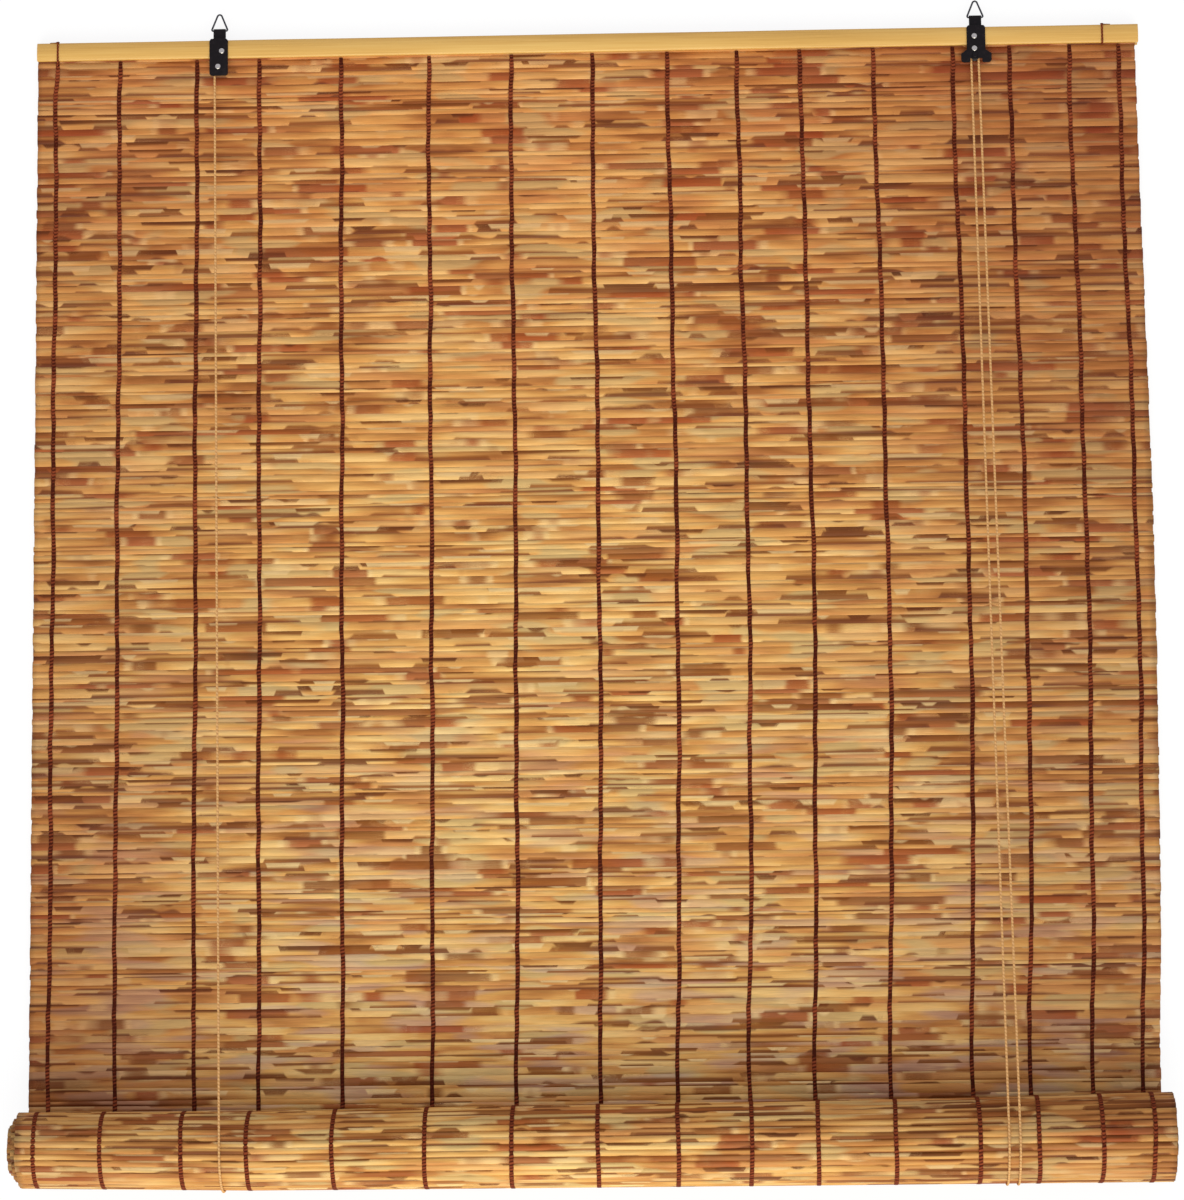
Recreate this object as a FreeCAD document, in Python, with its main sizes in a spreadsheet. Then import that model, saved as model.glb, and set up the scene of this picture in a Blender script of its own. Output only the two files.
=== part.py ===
import FreeCAD, Part
import math
import os

import Sketcher
from FreeCAD import Placement, Rotation, Vector

# Roll-up reed blind, lying face up: X across the blind, Y towards its head, Z out of its face.
# The floor is Z = 0. The screen hangs on two slats, and its lower part is wound into a roll in front.

SIZES = (
    # the woven screen
    ("width", 1200.0, "length of the reeds and of the slats"),
    ("axis_drop", 1200.0, "from the head's top edge to the axis of the roll"),
    ("reed_pitch", 7.0, "from one reed to the next"),
    ("reed_thickness", 6.0, "thickness of the screen without its threads"),
    ("reed_groove", 1.3, "depth of the gap between two reeds"),
    ("reed_crest", 3.0, "width of the flat crest of a reed"),
    ("screen_toe", 12.0, "from the roll's axis to where the flat screen's last reed begins"),
    ("thread_width", 3.2, "width of a warp thread"),
    ("thread_proud", 0.5, "height of a warp thread over the reeds"),
    # the roll
    ("roll_radius", 44.5, "outer radius of the roll"),
    ("turn_pitch", 7.4, "from one turn of the roll to the next"),
    ("end_slot_width", 0.9, "gap between two turns at the roll's ends"),
    ("end_slot_depth", 8.0, "depth of that gap"),
    # the slats and their ties
    ("slat_height", 20.0, "height of a bamboo slat"),
    ("slat_thickness", 6.0, "thickness of the front and bottom slats at the crown"),
    ("slat_edge", 4.2, "thickness of those slats at their edges"),
    ("back_thickness", 4.0, "thickness of the slat behind the screen"),
    ("tie_width", 1.6, "width of the thread tied round the head near its ends"),
    ("tie_thickness", 0.6, "thickness of that thread"),
    ("left_tie_x", -577.0, "place of the left tie"),
    ("right_tie_x", 561.0, "place of the right tie"),
    # the steel hangers
    ("left_hanger_x", -400.4, "middle of the left hanger"),
    ("right_hanger_x", 424.4, "middle of the right hanger"),
    ("strap_thickness", 1.0, "thickness of the hanger's strap"),
    ("plate_width", 20.2, "width of a hanger's cheek"),
    ("plate_drop", 40.5, "from the head's top edge down to the end of the front cheek"),
    ("back_drop", 36.0, "the same for the back cheek"),
    ("plate_rise", 1.2, "from the head's top edge up to the shoulders"),
    ("neck_width", 13.2, "width of the strap where it folds round the ring"),
    ("ring_axis_rise", 12.1, "from the head's top edge up to the ring's straight side"),
    ("corner_radius", 3.4, "rounding of the cheeks' corners"),
    ("lobe_width", 33.0, "width over the two horns of the right hanger"),
    ("lobe_height", 11.0, "height of the horns"),
    ("notch_width", 13.0, "width of the notch between the horns"),
    ("notch_height", 4.6, "height of that notch"),
    # the wire rings
    ("wire_diameter", 2.0, "diameter of the rings' wire"),
    ("ring_width", 20.2, "width over a ring"),
    ("ring_length", 22.4, "from a ring's straight side to where its two legs would meet"),
    ("tip_bend", 2.6, "bend radius of the wire's middle at the ring's tip"),
    ("foot_bend", 1.4, "the same at the ends of its straight side"),
    # the rivets and the pulleys
    ("rivet_diameter", 3.0, "diameter of a rivet's shank"),
    ("head_diameter", 6.2, "diameter of a rivet's head"),
    ("head_height", 1.4, "height of a rivet's head"),
    ("head_rim", 0.6, "height of the rim of that head"),
    ("head_flat", 3.4, "diameter of the flat on that head"),
    ("left_rivet_x", 3.3, "upper left rivet, from the hanger's middle"),
    ("left_rivet_drop", 12.9, "upper left rivet, below the head's top edge"),
    ("right_rivet_x", -1.9, "right rivets, from the hanger's middle"),
    ("right_rivet_drop", 11.2, "upper right rivet, below the head's top edge"),
    ("low_rivet_drop", 24.9, "lower right rivet, below the head's top edge"),
    ("left_axle_x", -0.8, "left pulley's axle, from the hanger's middle"),
    ("left_axle_drop", 30.3, "left pulley's axle, below the head's top edge"),
    ("right_axle_x", -1.5, "right pulley's axle, from the hanger's middle"),
    ("right_axle_drop", 32.3, "right pulley's axle, below the head's top edge"),
    ("cord_circle_radius", 4.0, "radius of the cord's middle on a pulley"),
    ("flange_height", 1.3, "height of a pulley's flanges over the cord's middle"),
    ("flange_flare", 0.35, "flare of the pulley's groove"),
    ("flange_width", 0.4, "thickness of a flange at its rim"),
    # the lift cords
    ("cord_diameter", 2.6, "diameter of a lift cord"),
    ("cord_tail", 7.0, "length of the left cord's end beside its pulley"),
    ("left_cord_x", -388.0, "left cord on the roll"),
    ("inner_cord_x", 427.5, "right cord's inner leg on the roll"),
    ("outer_cord_x", 439.0, "right cord's outer leg on the roll"),
    # clearances
    ("running_clearance", 0.05, "between a shank and its hole"),
    ("part_gap", 0.3, "between pieces that move on each other"),
    ("lay_gap", 0.02, "between a thread and what it lies on"),
    ("groove_clearance", 0.15, "between a cord and the groove or pin it goes round"),
)

# The warp threads, from the blind's left edge.
THREAD_PLACES = (21, 91, 175, 244, 333, 429, 519, 608, 691, 767, 836, 916, 1002, 1063, 1128, 1181)
DRAWN_WIDTH = 1200.0  # the width that all places across the blind are given for

MIDDLE_OF_ROUNDING = 1 - math.sqrt(0.5)  # how far a quarter arc's middle lies from its corner, in radii
WINDING_SIDES = 24  # straight sides in one turn of the gap between the turns
BAND_SIDES = 20  # sides of a thread round the roll
BAR_SIDES = 8  # sides of a cord and of the rings' wire
HALF_SIDE = math.tan(math.pi / BAR_SIDES)  # half of one side, in distances from the middle to a side

doc = FreeCAD.newDocument("reed_blind")
sheet = doc.addObject("Spreadsheet::Sheet", "sizes")


def fill_sheet():
    """Writes the driving dimensions, one row each: name, value, meaning."""
    for row, (alias, number, meaning) in enumerate(SIZES, start=1):
        sheet.set(f"A{row}", alias)
        sheet.set(f"B{row}", str(number))
        sheet.set(f"C{row}", meaning)
        sheet.setAlias(f"B{row}", alias)
    doc.recompute()


class Size:
    """A number together with the formula that gives it from the sheet."""

    def __init__(self, value, formula):
        self.value = float(value)
        self.formula = formula

    def __add__(self, other):
        other = as_size(other)
        return Size(self.value + other.value, f"({self.formula} + {other.formula})")

    def __sub__(self, other):
        other = as_size(other)
        return Size(self.value - other.value, f"({self.formula} - {other.formula})")

    def __mul__(self, other):
        other = as_size(other)
        return Size(self.value * other.value, f"({self.formula} * {other.formula})")

    def __truediv__(self, other):
        other = as_size(other)
        return Size(self.value / other.value, f"({self.formula} / {other.formula})")

    def __neg__(self):
        return Size(-self.value, f"(0 - {self.formula})")

    __radd__ = __add__
    __rmul__ = __mul__


def as_size(number):
    if isinstance(number, Size):
        return number
    return Size(number, f"({float(number)!r})")


def size(alias):
    """A driving dimension of the sheet."""
    return Size(sheet.get(alias), f"sizes.{alias}")


def across(alias):
    """A place across the blind, which keeps its share of the width."""
    return size(alias) * (WIDTH / DRAWN_WIDTH)


def root(number):
    return Size(math.sqrt(number.value), f"sqrt({number.formula})")


def bind(thing, prop, number):
    """Sets a property to a formula of the sheet's cells."""
    thing.setExpression(prop, as_size(number).formula)


def new_body(label):
    body = doc.addObject("PartDesign::Body", label)
    body.Label = label
    return body


def new_sketch(body, name, role):
    """An empty sketch on one of the body's own origin planes."""
    sketch = body.newObject("Sketcher::SketchObject", name)
    plane = next(item for item in body.Origin.OriginFeatures if item.Role == role)
    sketch.AttachmentSupport = [(plane, "")]
    sketch.MapMode = "FlatFace"
    return sketch


def pin_point(sketch, geometry, position, point):
    """Holds one point of a sketch at a place given by two sizes."""
    for kind, number in (("DistanceX", as_size(point[0])), ("DistanceY", as_size(point[1]))):
        rule = Sketcher.Constraint(kind, -1, 1, geometry, position, number.value)
        index = sketch.addConstraint(rule)
        sketch.setExpression(f"Constraints[{index}]", number.formula)


def flat(point):
    return Vector(as_size(point[0]).value, as_size(point[1]).value, 0)


def draw_outline(sketch, start, *steps):
    """A closed outline. A step is the next corner, or a pair of an arc's middle and its end."""
    here = start
    edges = []
    for step in steps + (start,):
        if not isinstance(step[0], tuple):
            there = step
            edge = sketch.addGeometry(Part.LineSegment(flat(here), flat(there)), False)
            first, last = 1, 2
        else:
            through, there = step
            arc = Part.Arc(flat(here), flat(through), flat(there))
            edge = sketch.addGeometry(arc, False)
            turn = (flat(through) - flat(here)).cross(flat(there) - flat(here)).z
            first, last = (1, 2) if turn > 0 else (2, 1)
            marker = sketch.addGeometry(Part.Point(flat(through)), True)
            pin_point(sketch, marker, 1, through)
            sketch.addConstraint(Sketcher.Constraint("PointOnObject", marker, 1, edge))
        pin_point(sketch, edge, first, here)
        edges.append((edge, first, last))
        here = there
    for (edge, _, last), (following, first, _) in zip(edges, edges[1:] + edges[:1]):
        sketch.addConstraint(Sketcher.Constraint("Coincident", edge, last, following, first))


def rounding(corner, radius, before, after):
    """Start, middle and end of a quarter arc at a corner, between two directions of travel."""
    x, y = corner
    inset = radius * MIDDLE_OF_ROUNDING
    begin = (x - radius * before[0], y - radius * before[1])
    middle = (x + inset * (after[0] - before[0]), y + inset * (after[1] - before[1]))
    end = (x + radius * after[0], y + radius * after[1])
    return begin, (middle, end)


def draw_circle(sketch, centre, radius):
    ring = sketch.addGeometry(Part.Circle(flat(centre), Vector(0, 0, 1), radius.value), False)
    pin_point(sketch, ring, 3, centre)
    index = sketch.addConstraint(Sketcher.Constraint("Radius", ring, radius.value))
    sketch.setExpression(f"Constraints[{index}]", radius.formula)


def pad(body, sketch, length):
    feature = body.newObject("PartDesign::Pad", sketch.Name + "_pad")
    feature.Profile = sketch
    feature.SideType = "Symmetric"
    bind(feature, "Length", length)
    return feature


def cut_through(body, sketch):
    """Cuts the sketch's area out of the body, both ways."""
    feature = body.newObject("PartDesign::Pocket", sketch.Name + "_cut")
    feature.Profile = sketch
    feature.SideType = "Symmetric"
    feature.Type = "ThroughAll"
    return feature


def revolve(body, sketch):
    """Turns the sketch about its own upright axis."""
    feature = body.newObject("PartDesign::Revolution", sketch.Name + "_turned")
    feature.Profile = sketch
    feature.ReferenceAxis = (sketch, ["V_Axis"])
    feature.Angle = 360
    return feature


def at(x, y, z, rotation=None):
    return Placement(Vector(x, y, z), rotation or Rotation())


fill_sheet()

# Names for the driving dimensions that several pieces share.
WIDTH = size("width")
AXIS_DROP = size("axis_drop")
SLAT_HEIGHT = size("slat_height")
REED_THICKNESS = size("reed_thickness")
ROLL_RADIUS = size("roll_radius")
TURN_PITCH = size("turn_pitch")
STRAP = size("strap_thickness")
CORD_RADIUS = size("cord_diameter") / 2
WIRE_RADIUS = size("wire_diameter") / 2
SHANK_RADIUS = size("rivet_diameter") / 2
PART_GAP = size("part_gap")
LAY_GAP = size("lay_gap")
RUNNING = size("running_clearance")

# Heights over the floor, worked out from the layers that lie on each other.
SCREEN_LOW = size("cord_diameter") + PART_GAP
BACK_SLAT_LOW = STRAP
SCREEN_HEAD_LOW = STRAP + size("back_thickness")
FRONT_SLAT_LOW = SCREEN_HEAD_LOW + REED_THICKNESS
FRONT_CHEEK_LOW = FRONT_SLAT_LOW + size("slat_thickness")
HANGER_HIGH = FRONT_CHEEK_LOW + STRAP
AXIS_HEIGHT = SCREEN_LOW + ROLL_RADIUS
SLING_RADIUS = ROLL_RADIUS + PART_GAP + CORD_RADIUS
PULLEY_HEIGHT = (FRONT_SLAT_LOW + FRONT_CHEEK_LOW) / 2
BACK_BIGHT_HEIGHT = (STRAP + SCREEN_HEAD_LOW) / 2


def ring_reach():
    """How far a ring's rounded tip stands above the head's top edge."""
    half_width = size("ring_width").value / 2 - WIRE_RADIUS.value
    half_angle = math.atan2(half_width, size("ring_length").value)
    bend = size("tip_bend").value
    rounded_off = bend / math.sin(half_angle) - bend
    return size("ring_axis_rise").value + size("ring_length").value - rounded_off + WIRE_RADIUS.value


# The origin lies under the middle of the whole blind, so the head's top edge is at HEAD_TOP.
HEAD_TOP = (AXIS_DROP.value + SLING_RADIUS.value + CORD_RADIUS.value - ring_reach()) / 2
HEAD_BOTTOM = HEAD_TOP - SLAT_HEIGHT.value
AXIS_Y = HEAD_TOP - AXIS_DROP.value
AXIS_Z = AXIS_HEIGHT.value


class Hanger:
    """Where one hanger, its rivets and its pulley are."""

    def __init__(self, side, rivets, lobed):
        self.side = side
        self.x = across(f"{side}_hanger_x")
        self.axle = (size(f"{side}_axle_x"), -size(f"{side}_axle_drop"))
        self.rivets = rivets
        self.lobed = lobed

    def place(self, offset, height=0.0):
        """A place on the hanger in the blind's frame."""
        return at(self.x.value + offset[0].value, HEAD_TOP + offset[1].value, height)


HANGERS = (
    Hanger("left", ((size("left_rivet_x"), -size("left_rivet_drop")),), False),
    Hanger(
        "right",
        (
            (size("right_rivet_x"), -size("right_rivet_drop")),
            (size("right_rivet_x"), -size("low_rivet_drop")),
        ),
        True,
    ),
)

LEFT_HANGER, RIGHT_HANGER = HANGERS
CORD_CIRCLE = size("cord_circle_radius")
BACK_CIRCLE = SHANK_RADIUS + size("groove_clearance") + CORD_RADIUS


class Leg:
    """One leg of a lift cord: down the face, round the roll, and up behind the screen."""

    def __init__(self, name, hanger, side, roll_x):
        self.name = name
        self.roll_x = across(roll_x).value
        axle_x = hanger.x.value + hanger.axle[0].value
        axle_y = HEAD_TOP + hanger.axle[1].value
        self.top = Vector(axle_x + side * CORD_CIRCLE.value, axle_y, PULLEY_HEIGHT.value)
        self.back_top = Vector(axle_x + side * BACK_CIRCLE.value, axle_y, BACK_BIGHT_HEIGHT.value)
        self.back_low = Vector(self.roll_x, AXIS_Y, CORD_RADIUS.value)
        reach = math.hypot(axle_y - AXIS_Y, AXIS_Z - self.top.z)
        down = math.atan2(AXIS_Z - self.top.z, axle_y - AXIS_Y)
        self.lean = math.asin(SLING_RADIUS.value / reach) + down
        self.touch = Vector(
            self.roll_x,
            AXIS_Y + SLING_RADIUS.value * math.sin(self.lean),
            AXIS_Z + SLING_RADIUS.value * math.cos(self.lean),
        )


LEGS = (
    Leg("left", LEFT_HANGER, -1, "left_cord_x"),
    Leg("right_inner", RIGHT_HANGER, -1, "inner_cord_x"),
    Leg("right_outer", RIGHT_HANGER, 1, "outer_cord_x"),
)


def all_holes():
    """Every rivet and axle that goes through the head or the screen, as (hanger, offset)."""
    return [(hanger, spot) for hanger in HANGERS for spot in hanger.rivets + (hanger.axle,)]


# Slats


def slat(label, thickness, crowned, holes):
    """A split bamboo slat, flat behind and, where it shows, crowned in front."""
    body = new_body(label)
    section = new_sketch(body, label + "_section", "YZ_Plane")
    half = SLAT_HEIGHT / 2
    if crowned:
        edge = size("slat_edge")
        corners = ((half, 0), (half, edge), ((0, thickness), (-half, edge)))
    else:
        corners = ((half, 0), (half, thickness), (-half, thickness))
    draw_outline(section, (-half, 0), *corners)
    pad(body, section, WIDTH)
    if holes:
        drilled = new_sketch(body, label + "_holes", "XY_Plane")
        for hanger, (x, y) in holes:
            draw_circle(drilled, (hanger.x + x, half + y), SHANK_RADIUS + RUNNING)
        cut_through(body, drilled)
    return body


def build_slats():
    through_slats = [
        (hanger, spot) for hanger, spot in all_holes() if -spot[1].value < SLAT_HEIGHT.value
    ]
    middle = HEAD_TOP - SLAT_HEIGHT.value / 2
    front = slat("front_slat", size("slat_thickness"), True, through_slats)
    front.Placement = at(0, middle, FRONT_SLAT_LOW.value)
    back = slat("back_slat", size("back_thickness"), False, through_slats)
    back.Placement = at(0, middle, BACK_SLAT_LOW.value)
    bottom = slat("bottom_slat", size("slat_thickness"), True, ())
    bottom.Placement = at(0, AXIS_Y, AXIS_Z - size("slat_thickness").value / 2)


# Screen


def screen_low(y):
    """Height of the screen's underside, which rises a little from the roll to the head."""
    share = (y - AXIS_Y) / (HEAD_BOTTOM - AXIS_Y)
    share = min(max(share, 0.0), 1.0)
    return SCREEN_LOW.value + share * (SCREEN_HEAD_LOW.value - SCREEN_LOW.value)


def extruded(corners, x_from, length):
    """A prism along X over a closed outline in the Y-Z plane."""
    outline = Part.makePolygon(corners + corners[:1])
    outline.translate(Vector(x_from, 0, 0))
    return Part.Face(outline).extrude(Vector(length, 0, 0))


def add_feature(label, shape, placement=None):
    feature = doc.addObject("Part::Feature", label)
    feature.Label = label
    feature.Shape = shape
    feature.Placement = placement or Placement()
    return feature


def reeds_edge(first, last, count, height, groove):
    """The face of the screen from first to last: each reed has a flat crest between two gaps."""
    pitch = (last - first) / count
    half_crest = size("reed_crest").value / 2
    corners = []
    for index in range(count):
        begin = first + index * pitch
        middle = begin + pitch / 2
        corners.append(Vector(0, begin, height(begin) - groove))
        for y in (middle - half_crest, middle + half_crest):
            corners.append(Vector(0, y, height(y)))
    corners.append(Vector(0, last, height(last) - groove))
    return corners


def band_radius(proud):
    """How far the corners of a thread round the roll lie from the roll's axis."""
    return (ROLL_RADIUS.value + LAY_GAP.value + proud) / math.cos(math.pi / BAND_SIDES)


def clear_of_roll():
    """Radius about the roll's axis that the flat screen keeps out of."""
    return band_radius(size("thread_proud").value) + PART_GAP.value


def build_flat_reeds():
    """The screen from under the roll to the head, one solid with the gaps cut into both faces."""
    first = AXIS_Y + size("screen_toe").value
    last = HEAD_TOP - PART_GAP.value
    count = round((last - first) / size("reed_pitch").value)
    groove = size("reed_groove").value
    low = reeds_edge(first, last, count, screen_low, -groove)
    high = reeds_edge(first, last, count, lambda y: screen_low(y) + REED_THICKNESS.value, groove)
    left = -WIDTH.value / 2
    shape = extruded(high + low[::-1], left, WIDTH.value)
    under_roll = around_roll(clear_of_roll(), left, WIDTH.value)
    shape = shape.cut(Part.makeCompound([under_roll] + rivet_holes() + tie_slots()))
    add_feature("flat_reeds", shape)


def rivet_holes():
    radius = SHANK_RADIUS.value + RUNNING.value
    holes = []
    for hanger, spot in all_holes():
        holes.append(Part.makeCylinder(radius, HANGER_HIGH.value, hanger.place(spot).Base))
    return holes


def tie_slots():
    """Gaps between two reeds for the ties that go round the head."""
    wide = size("tie_width").value + 2 * PART_GAP.value
    deep = size("tie_thickness").value + 2 * PART_GAP.value
    slots = []
    for side in ("left", "right"):
        corner = Vector(across(f"{side}_tie_x").value - wide / 2, HEAD_BOTTOM - deep, 0)
        slots.append(Part.makeBox(wide, deep, HANGER_HIGH.value, corner))
    return slots


def thread_xs():
    """Middles of the warp threads across the blind."""
    share = WIDTH.value / DRAWN_WIDTH
    return [place * share - WIDTH.value / 2 for place in THREAD_PLACES]


def build_flat_threads():
    """The warp threads on both faces of the flat screen, as thin bands on the reeds' crests."""
    last = HEAD_BOTTOM - size("tie_thickness").value - 2 * PART_GAP.value
    face_height = SCREEN_LOW.value + REED_THICKNESS.value + size("thread_proud").value
    front_first = AXIS_Y + math.sqrt(clear_of_roll() ** 2 - (AXIS_Z - face_height) ** 2) + PART_GAP.value
    back_first = AXIS_Y + size("screen_toe").value + size("reed_pitch").value / 2
    proud = size("thread_proud").value
    gap = LAY_GAP.value
    thickness = REED_THICKNESS.value
    wide = size("thread_width").value
    for label, first, low, high in (
        ("flat_threads_front", front_first, thickness + gap, thickness + gap + proud),
        ("flat_threads_back", back_first, -gap - proud, -gap),
    ):
        corners = [
            Vector(0, first, screen_low(first) + low),
            Vector(0, last, screen_low(last) + low),
            Vector(0, last, screen_low(last) + high),
            Vector(0, first, screen_low(first) + high),
        ]
        bands = [extruded(corners, x - wide / 2, wide) for x in thread_xs()]
        add_feature(label, Part.makeCompound(bands))


# Roll


def roll_point(angle, radius):
    """A point of the roll's section. The angle starts at the floor and runs away from the head."""
    return Vector(0, AXIS_Y - radius * math.sin(angle), AXIS_Z - radius * math.cos(angle))


def winding(start_radius, turns):
    """Corners along the winding, whose radius falls by one turn's pitch in each turn."""
    count = math.ceil(turns * WINDING_SIDES)
    corners = []
    for index in range(count + 1):
        turned = turns * index / count
        corners.append(roll_point(turned * math.tau, start_radius - TURN_PITCH.value * turned))
    return corners


def winding_gap(x_from, length):
    """The gap between the turns: in along the screen's face, then round and round to the core."""
    wide = size("end_slot_width").value
    outer = ROLL_RADIUS.value - REED_THICKNESS.value
    inner = outer - wide
    turns = (inner - bore_radius() - wide) / TURN_PITCH.value
    lead = Vector(0, ROLL_RADIUS.value, 0)
    mouth = [roll_point(0, radius) + lead for radius in (inner, outer)]
    return extruded(winding(outer, turns) + winding(inner, turns)[::-1] + mouth, x_from, length)


def bore_radius():
    """The bore just clears the bottom slat, round which the screen is wound."""
    half_height = SLAT_HEIGHT.value / 2
    half_thickness = size("slat_thickness").value / 2
    return math.hypot(half_height, half_thickness) + PART_GAP.value


def around_roll(radius, x_from, length):
    """A cylinder about the roll's axis."""
    return Part.makeCylinder(radius, length, Vector(x_from, AXIS_Y, AXIS_Z), Vector(1, 0, 0))


def build_roll_reeds():
    """The wound part of the screen: reeds round its outside, a bore, and its turns on its ends."""
    groove = size("reed_groove").value
    radius = ROLL_RADIUS.value
    half_crest = size("reed_crest").value / 2 / radius
    count = round(math.tau * radius / size("reed_pitch").value)
    step = math.tau / count
    corners = []
    for index in range(count):
        begin = index * step
        middle = begin + step / 2
        corners.append(roll_point(begin, radius - groove))
        corners.append(roll_point(middle - half_crest, radius))
        corners.append(roll_point(middle + half_crest, radius))
    left = -WIDTH.value / 2
    shape = extruded(corners, left, WIDTH.value)
    shape = shape.cut(around_roll(bore_radius(), left, WIDTH.value))
    deep = size("end_slot_depth").value
    gaps = [winding_gap(x_from, deep) for x_from in (left, -left - deep)]
    add_feature("roll_reeds", shape.cut(Part.makeCompound(gaps)))


def band_disc(proud, wide):
    """A prism round the roll's axis whose sides touch the thread's inside or outside."""
    corners = []
    for index in range(BAND_SIDES):
        corners.append(roll_point(index * math.tau / BAND_SIDES, band_radius(proud)))
    return extruded(corners, -wide / 2, wide)


def build_roll_threads():
    """The warp threads round the outermost turn."""
    wide = size("thread_width").value
    band = band_disc(size("thread_proud").value, wide).cut(band_disc(0, wide))
    bands = [band.translated(Vector(x, 0, 0)) for x in thread_xs()]
    add_feature("roll_threads", Part.makeCompound(bands))


# Ties


def build_ties():
    """A thread tied round the slats near each end of the head."""
    thick = size("tie_thickness")
    inside_height = SLAT_HEIGHT + LAY_GAP * 2
    inside_depth = FRONT_CHEEK_LOW - BACK_SLAT_LOW + LAY_GAP * 2
    for side in ("left", "right"):
        label = f"rail_tie_{side}"
        outer = doc.addObject("Part::Box", label + "_outside")
        inner = doc.addObject("Part::Box", label + "_inside")
        for box, extra in ((outer, thick * 2), (inner, 0)):
            bind(box, "Length", size("tie_width"))
            bind(box, "Width", inside_height + extra)
            bind(box, "Height", inside_depth + extra)
        left = across(f"{side}_tie_x").value - size("tie_width").value / 2
        low = BACK_SLAT_LOW.value - LAY_GAP.value
        inner.Placement = at(left, HEAD_BOTTOM - LAY_GAP.value, low)
        outer.Placement = at(left, HEAD_BOTTOM - LAY_GAP.value - thick.value, low - thick.value)
        tie = doc.addObject("Part::Cut", label)
        tie.Label = label
        tie.Base = outer
        tie.Tool = inner


# Hangers


def fold_radius():
    """Outside of the strap's fold round the ring's wire."""
    return WIRE_RADIUS + size("groove_clearance") + STRAP


def strap_side(sketch):
    """Side view of the strap: it comes up behind the head, folds round the ring and goes down in front."""
    middle = HANGER_HIGH / 2
    outer = fold_radius()
    inner = outer - STRAP
    top = size("ring_axis_rise")
    knee = LAY_GAP + STRAP
    neck = size("plate_rise") + STRAP * 2
    run = neck - knee
    rise = middle - outer
    shift = STRAP * (root(run * run + rise * rise) - run) / rise
    high = HANGER_HIGH
    draw_outline(
        sketch,
        (-size("back_drop"), 0),
        (knee, 0),
        (neck, middle - outer),
        (top, middle - outer),
        ((top + outer, middle), (top, middle + outer)),
        (neck, middle + outer),
        (knee, high),
        (-size("plate_drop"), high),
        (-size("plate_drop"), high - STRAP),
        (knee - shift, high - STRAP),
        (neck - shift, middle + inner),
        (top, middle + inner),
        ((top + inner, middle), (top, middle - inner)),
        (neck - shift, middle - inner),
        (knee - shift, STRAP),
        (-size("back_drop"), STRAP),
    )


def plate_outline(lobed):
    """Front view of the hanger, clockwise from the middle of its top."""
    right, left, up, down = (1, 0), (-1, 0), (0, 1), (0, -1)
    neck = size("neck_width") / 2
    half = size("plate_width") / 2
    radius = size("corner_radius")
    top = size("ring_axis_rise") + fold_radius() + PART_GAP
    shoulder = size("plate_rise")
    low = -size("plate_drop")
    points = [(-neck, top), (neck, top), (neck, shoulder)]
    points += rounding((half, shoulder), radius, right, down)
    if lobed:
        lobe = size("lobe_width") / 2
        notch = size("notch_width") / 2
        lobe_top = low + size("lobe_height")
        notch_top = low + size("notch_height")
        small = radius / 2
        points += [(half, lobe_top + radius)]
        points += rounding((lobe, lobe_top), small, right, down)
        points += rounding((lobe, low), radius, down, left)
        points += rounding((notch, low), small, left, up)
        points += [(notch, notch_top), (-notch, notch_top)]
        points += rounding((-notch, low), small, down, left)
        points += rounding((-lobe, low), radius, left, up)
        points += rounding((-lobe, lobe_top), small, up, right)
        points += [(-half, lobe_top + radius)]
    else:
        points += rounding((half, low), radius, down, left)
        points += rounding((-half, low), radius, left, up)
    points += rounding((-half, shoulder), radius, up, right)
    points += [(-neck, shoulder)]
    return points


def build_hanger(hanger):
    """A steel strap folded over the head, trimmed to its front view and drilled for its rivets."""
    label = f"hanger_{hanger.side}"
    body = new_body(label)
    wide = size("lobe_width") if hanger.lobed else size("plate_width")
    side = new_sketch(body, label + "_side", "YZ_Plane")
    strap_side(side)
    pad(body, side, wide)
    trim = new_sketch(body, label + "_outline", "XY_Plane")
    margin = size("corner_radius")
    reach_x = wide / 2 + margin
    high = size("ring_axis_rise") + fold_radius() + margin
    low = -size("plate_drop") - margin
    draw_outline(trim, (-reach_x, low), (reach_x, low), (reach_x, high), (-reach_x, high))
    draw_outline(trim, *plate_outline(hanger.lobed))
    cut_through(body, trim)
    drilled = new_sketch(body, label + "_holes", "XY_Plane")
    for spot in hanger.rivets + (hanger.axle,):
        draw_circle(drilled, spot, SHANK_RADIUS + RUNNING)
    cut_through(body, drilled)
    body.Placement = at(hanger.x.value, HEAD_TOP, 0)


def build_rivet(label, placement):
    """A rivet through the whole head: a raised head in front, closed flush behind."""
    body = new_body(label)
    profile = new_sketch(body, label + "_profile", "XZ_Plane")
    head = size("head_diameter") / 2
    crown = HANGER_HIGH + size("head_height")
    draw_outline(
        profile,
        (0, 0),
        (SHANK_RADIUS, 0),
        (SHANK_RADIUS, HANGER_HIGH),
        (head, HANGER_HIGH),
        (head, HANGER_HIGH + size("head_rim")),
        (size("head_flat") / 2, crown),
        (0, crown),
    )
    revolve(body, profile)
    body.Placement = placement


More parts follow.
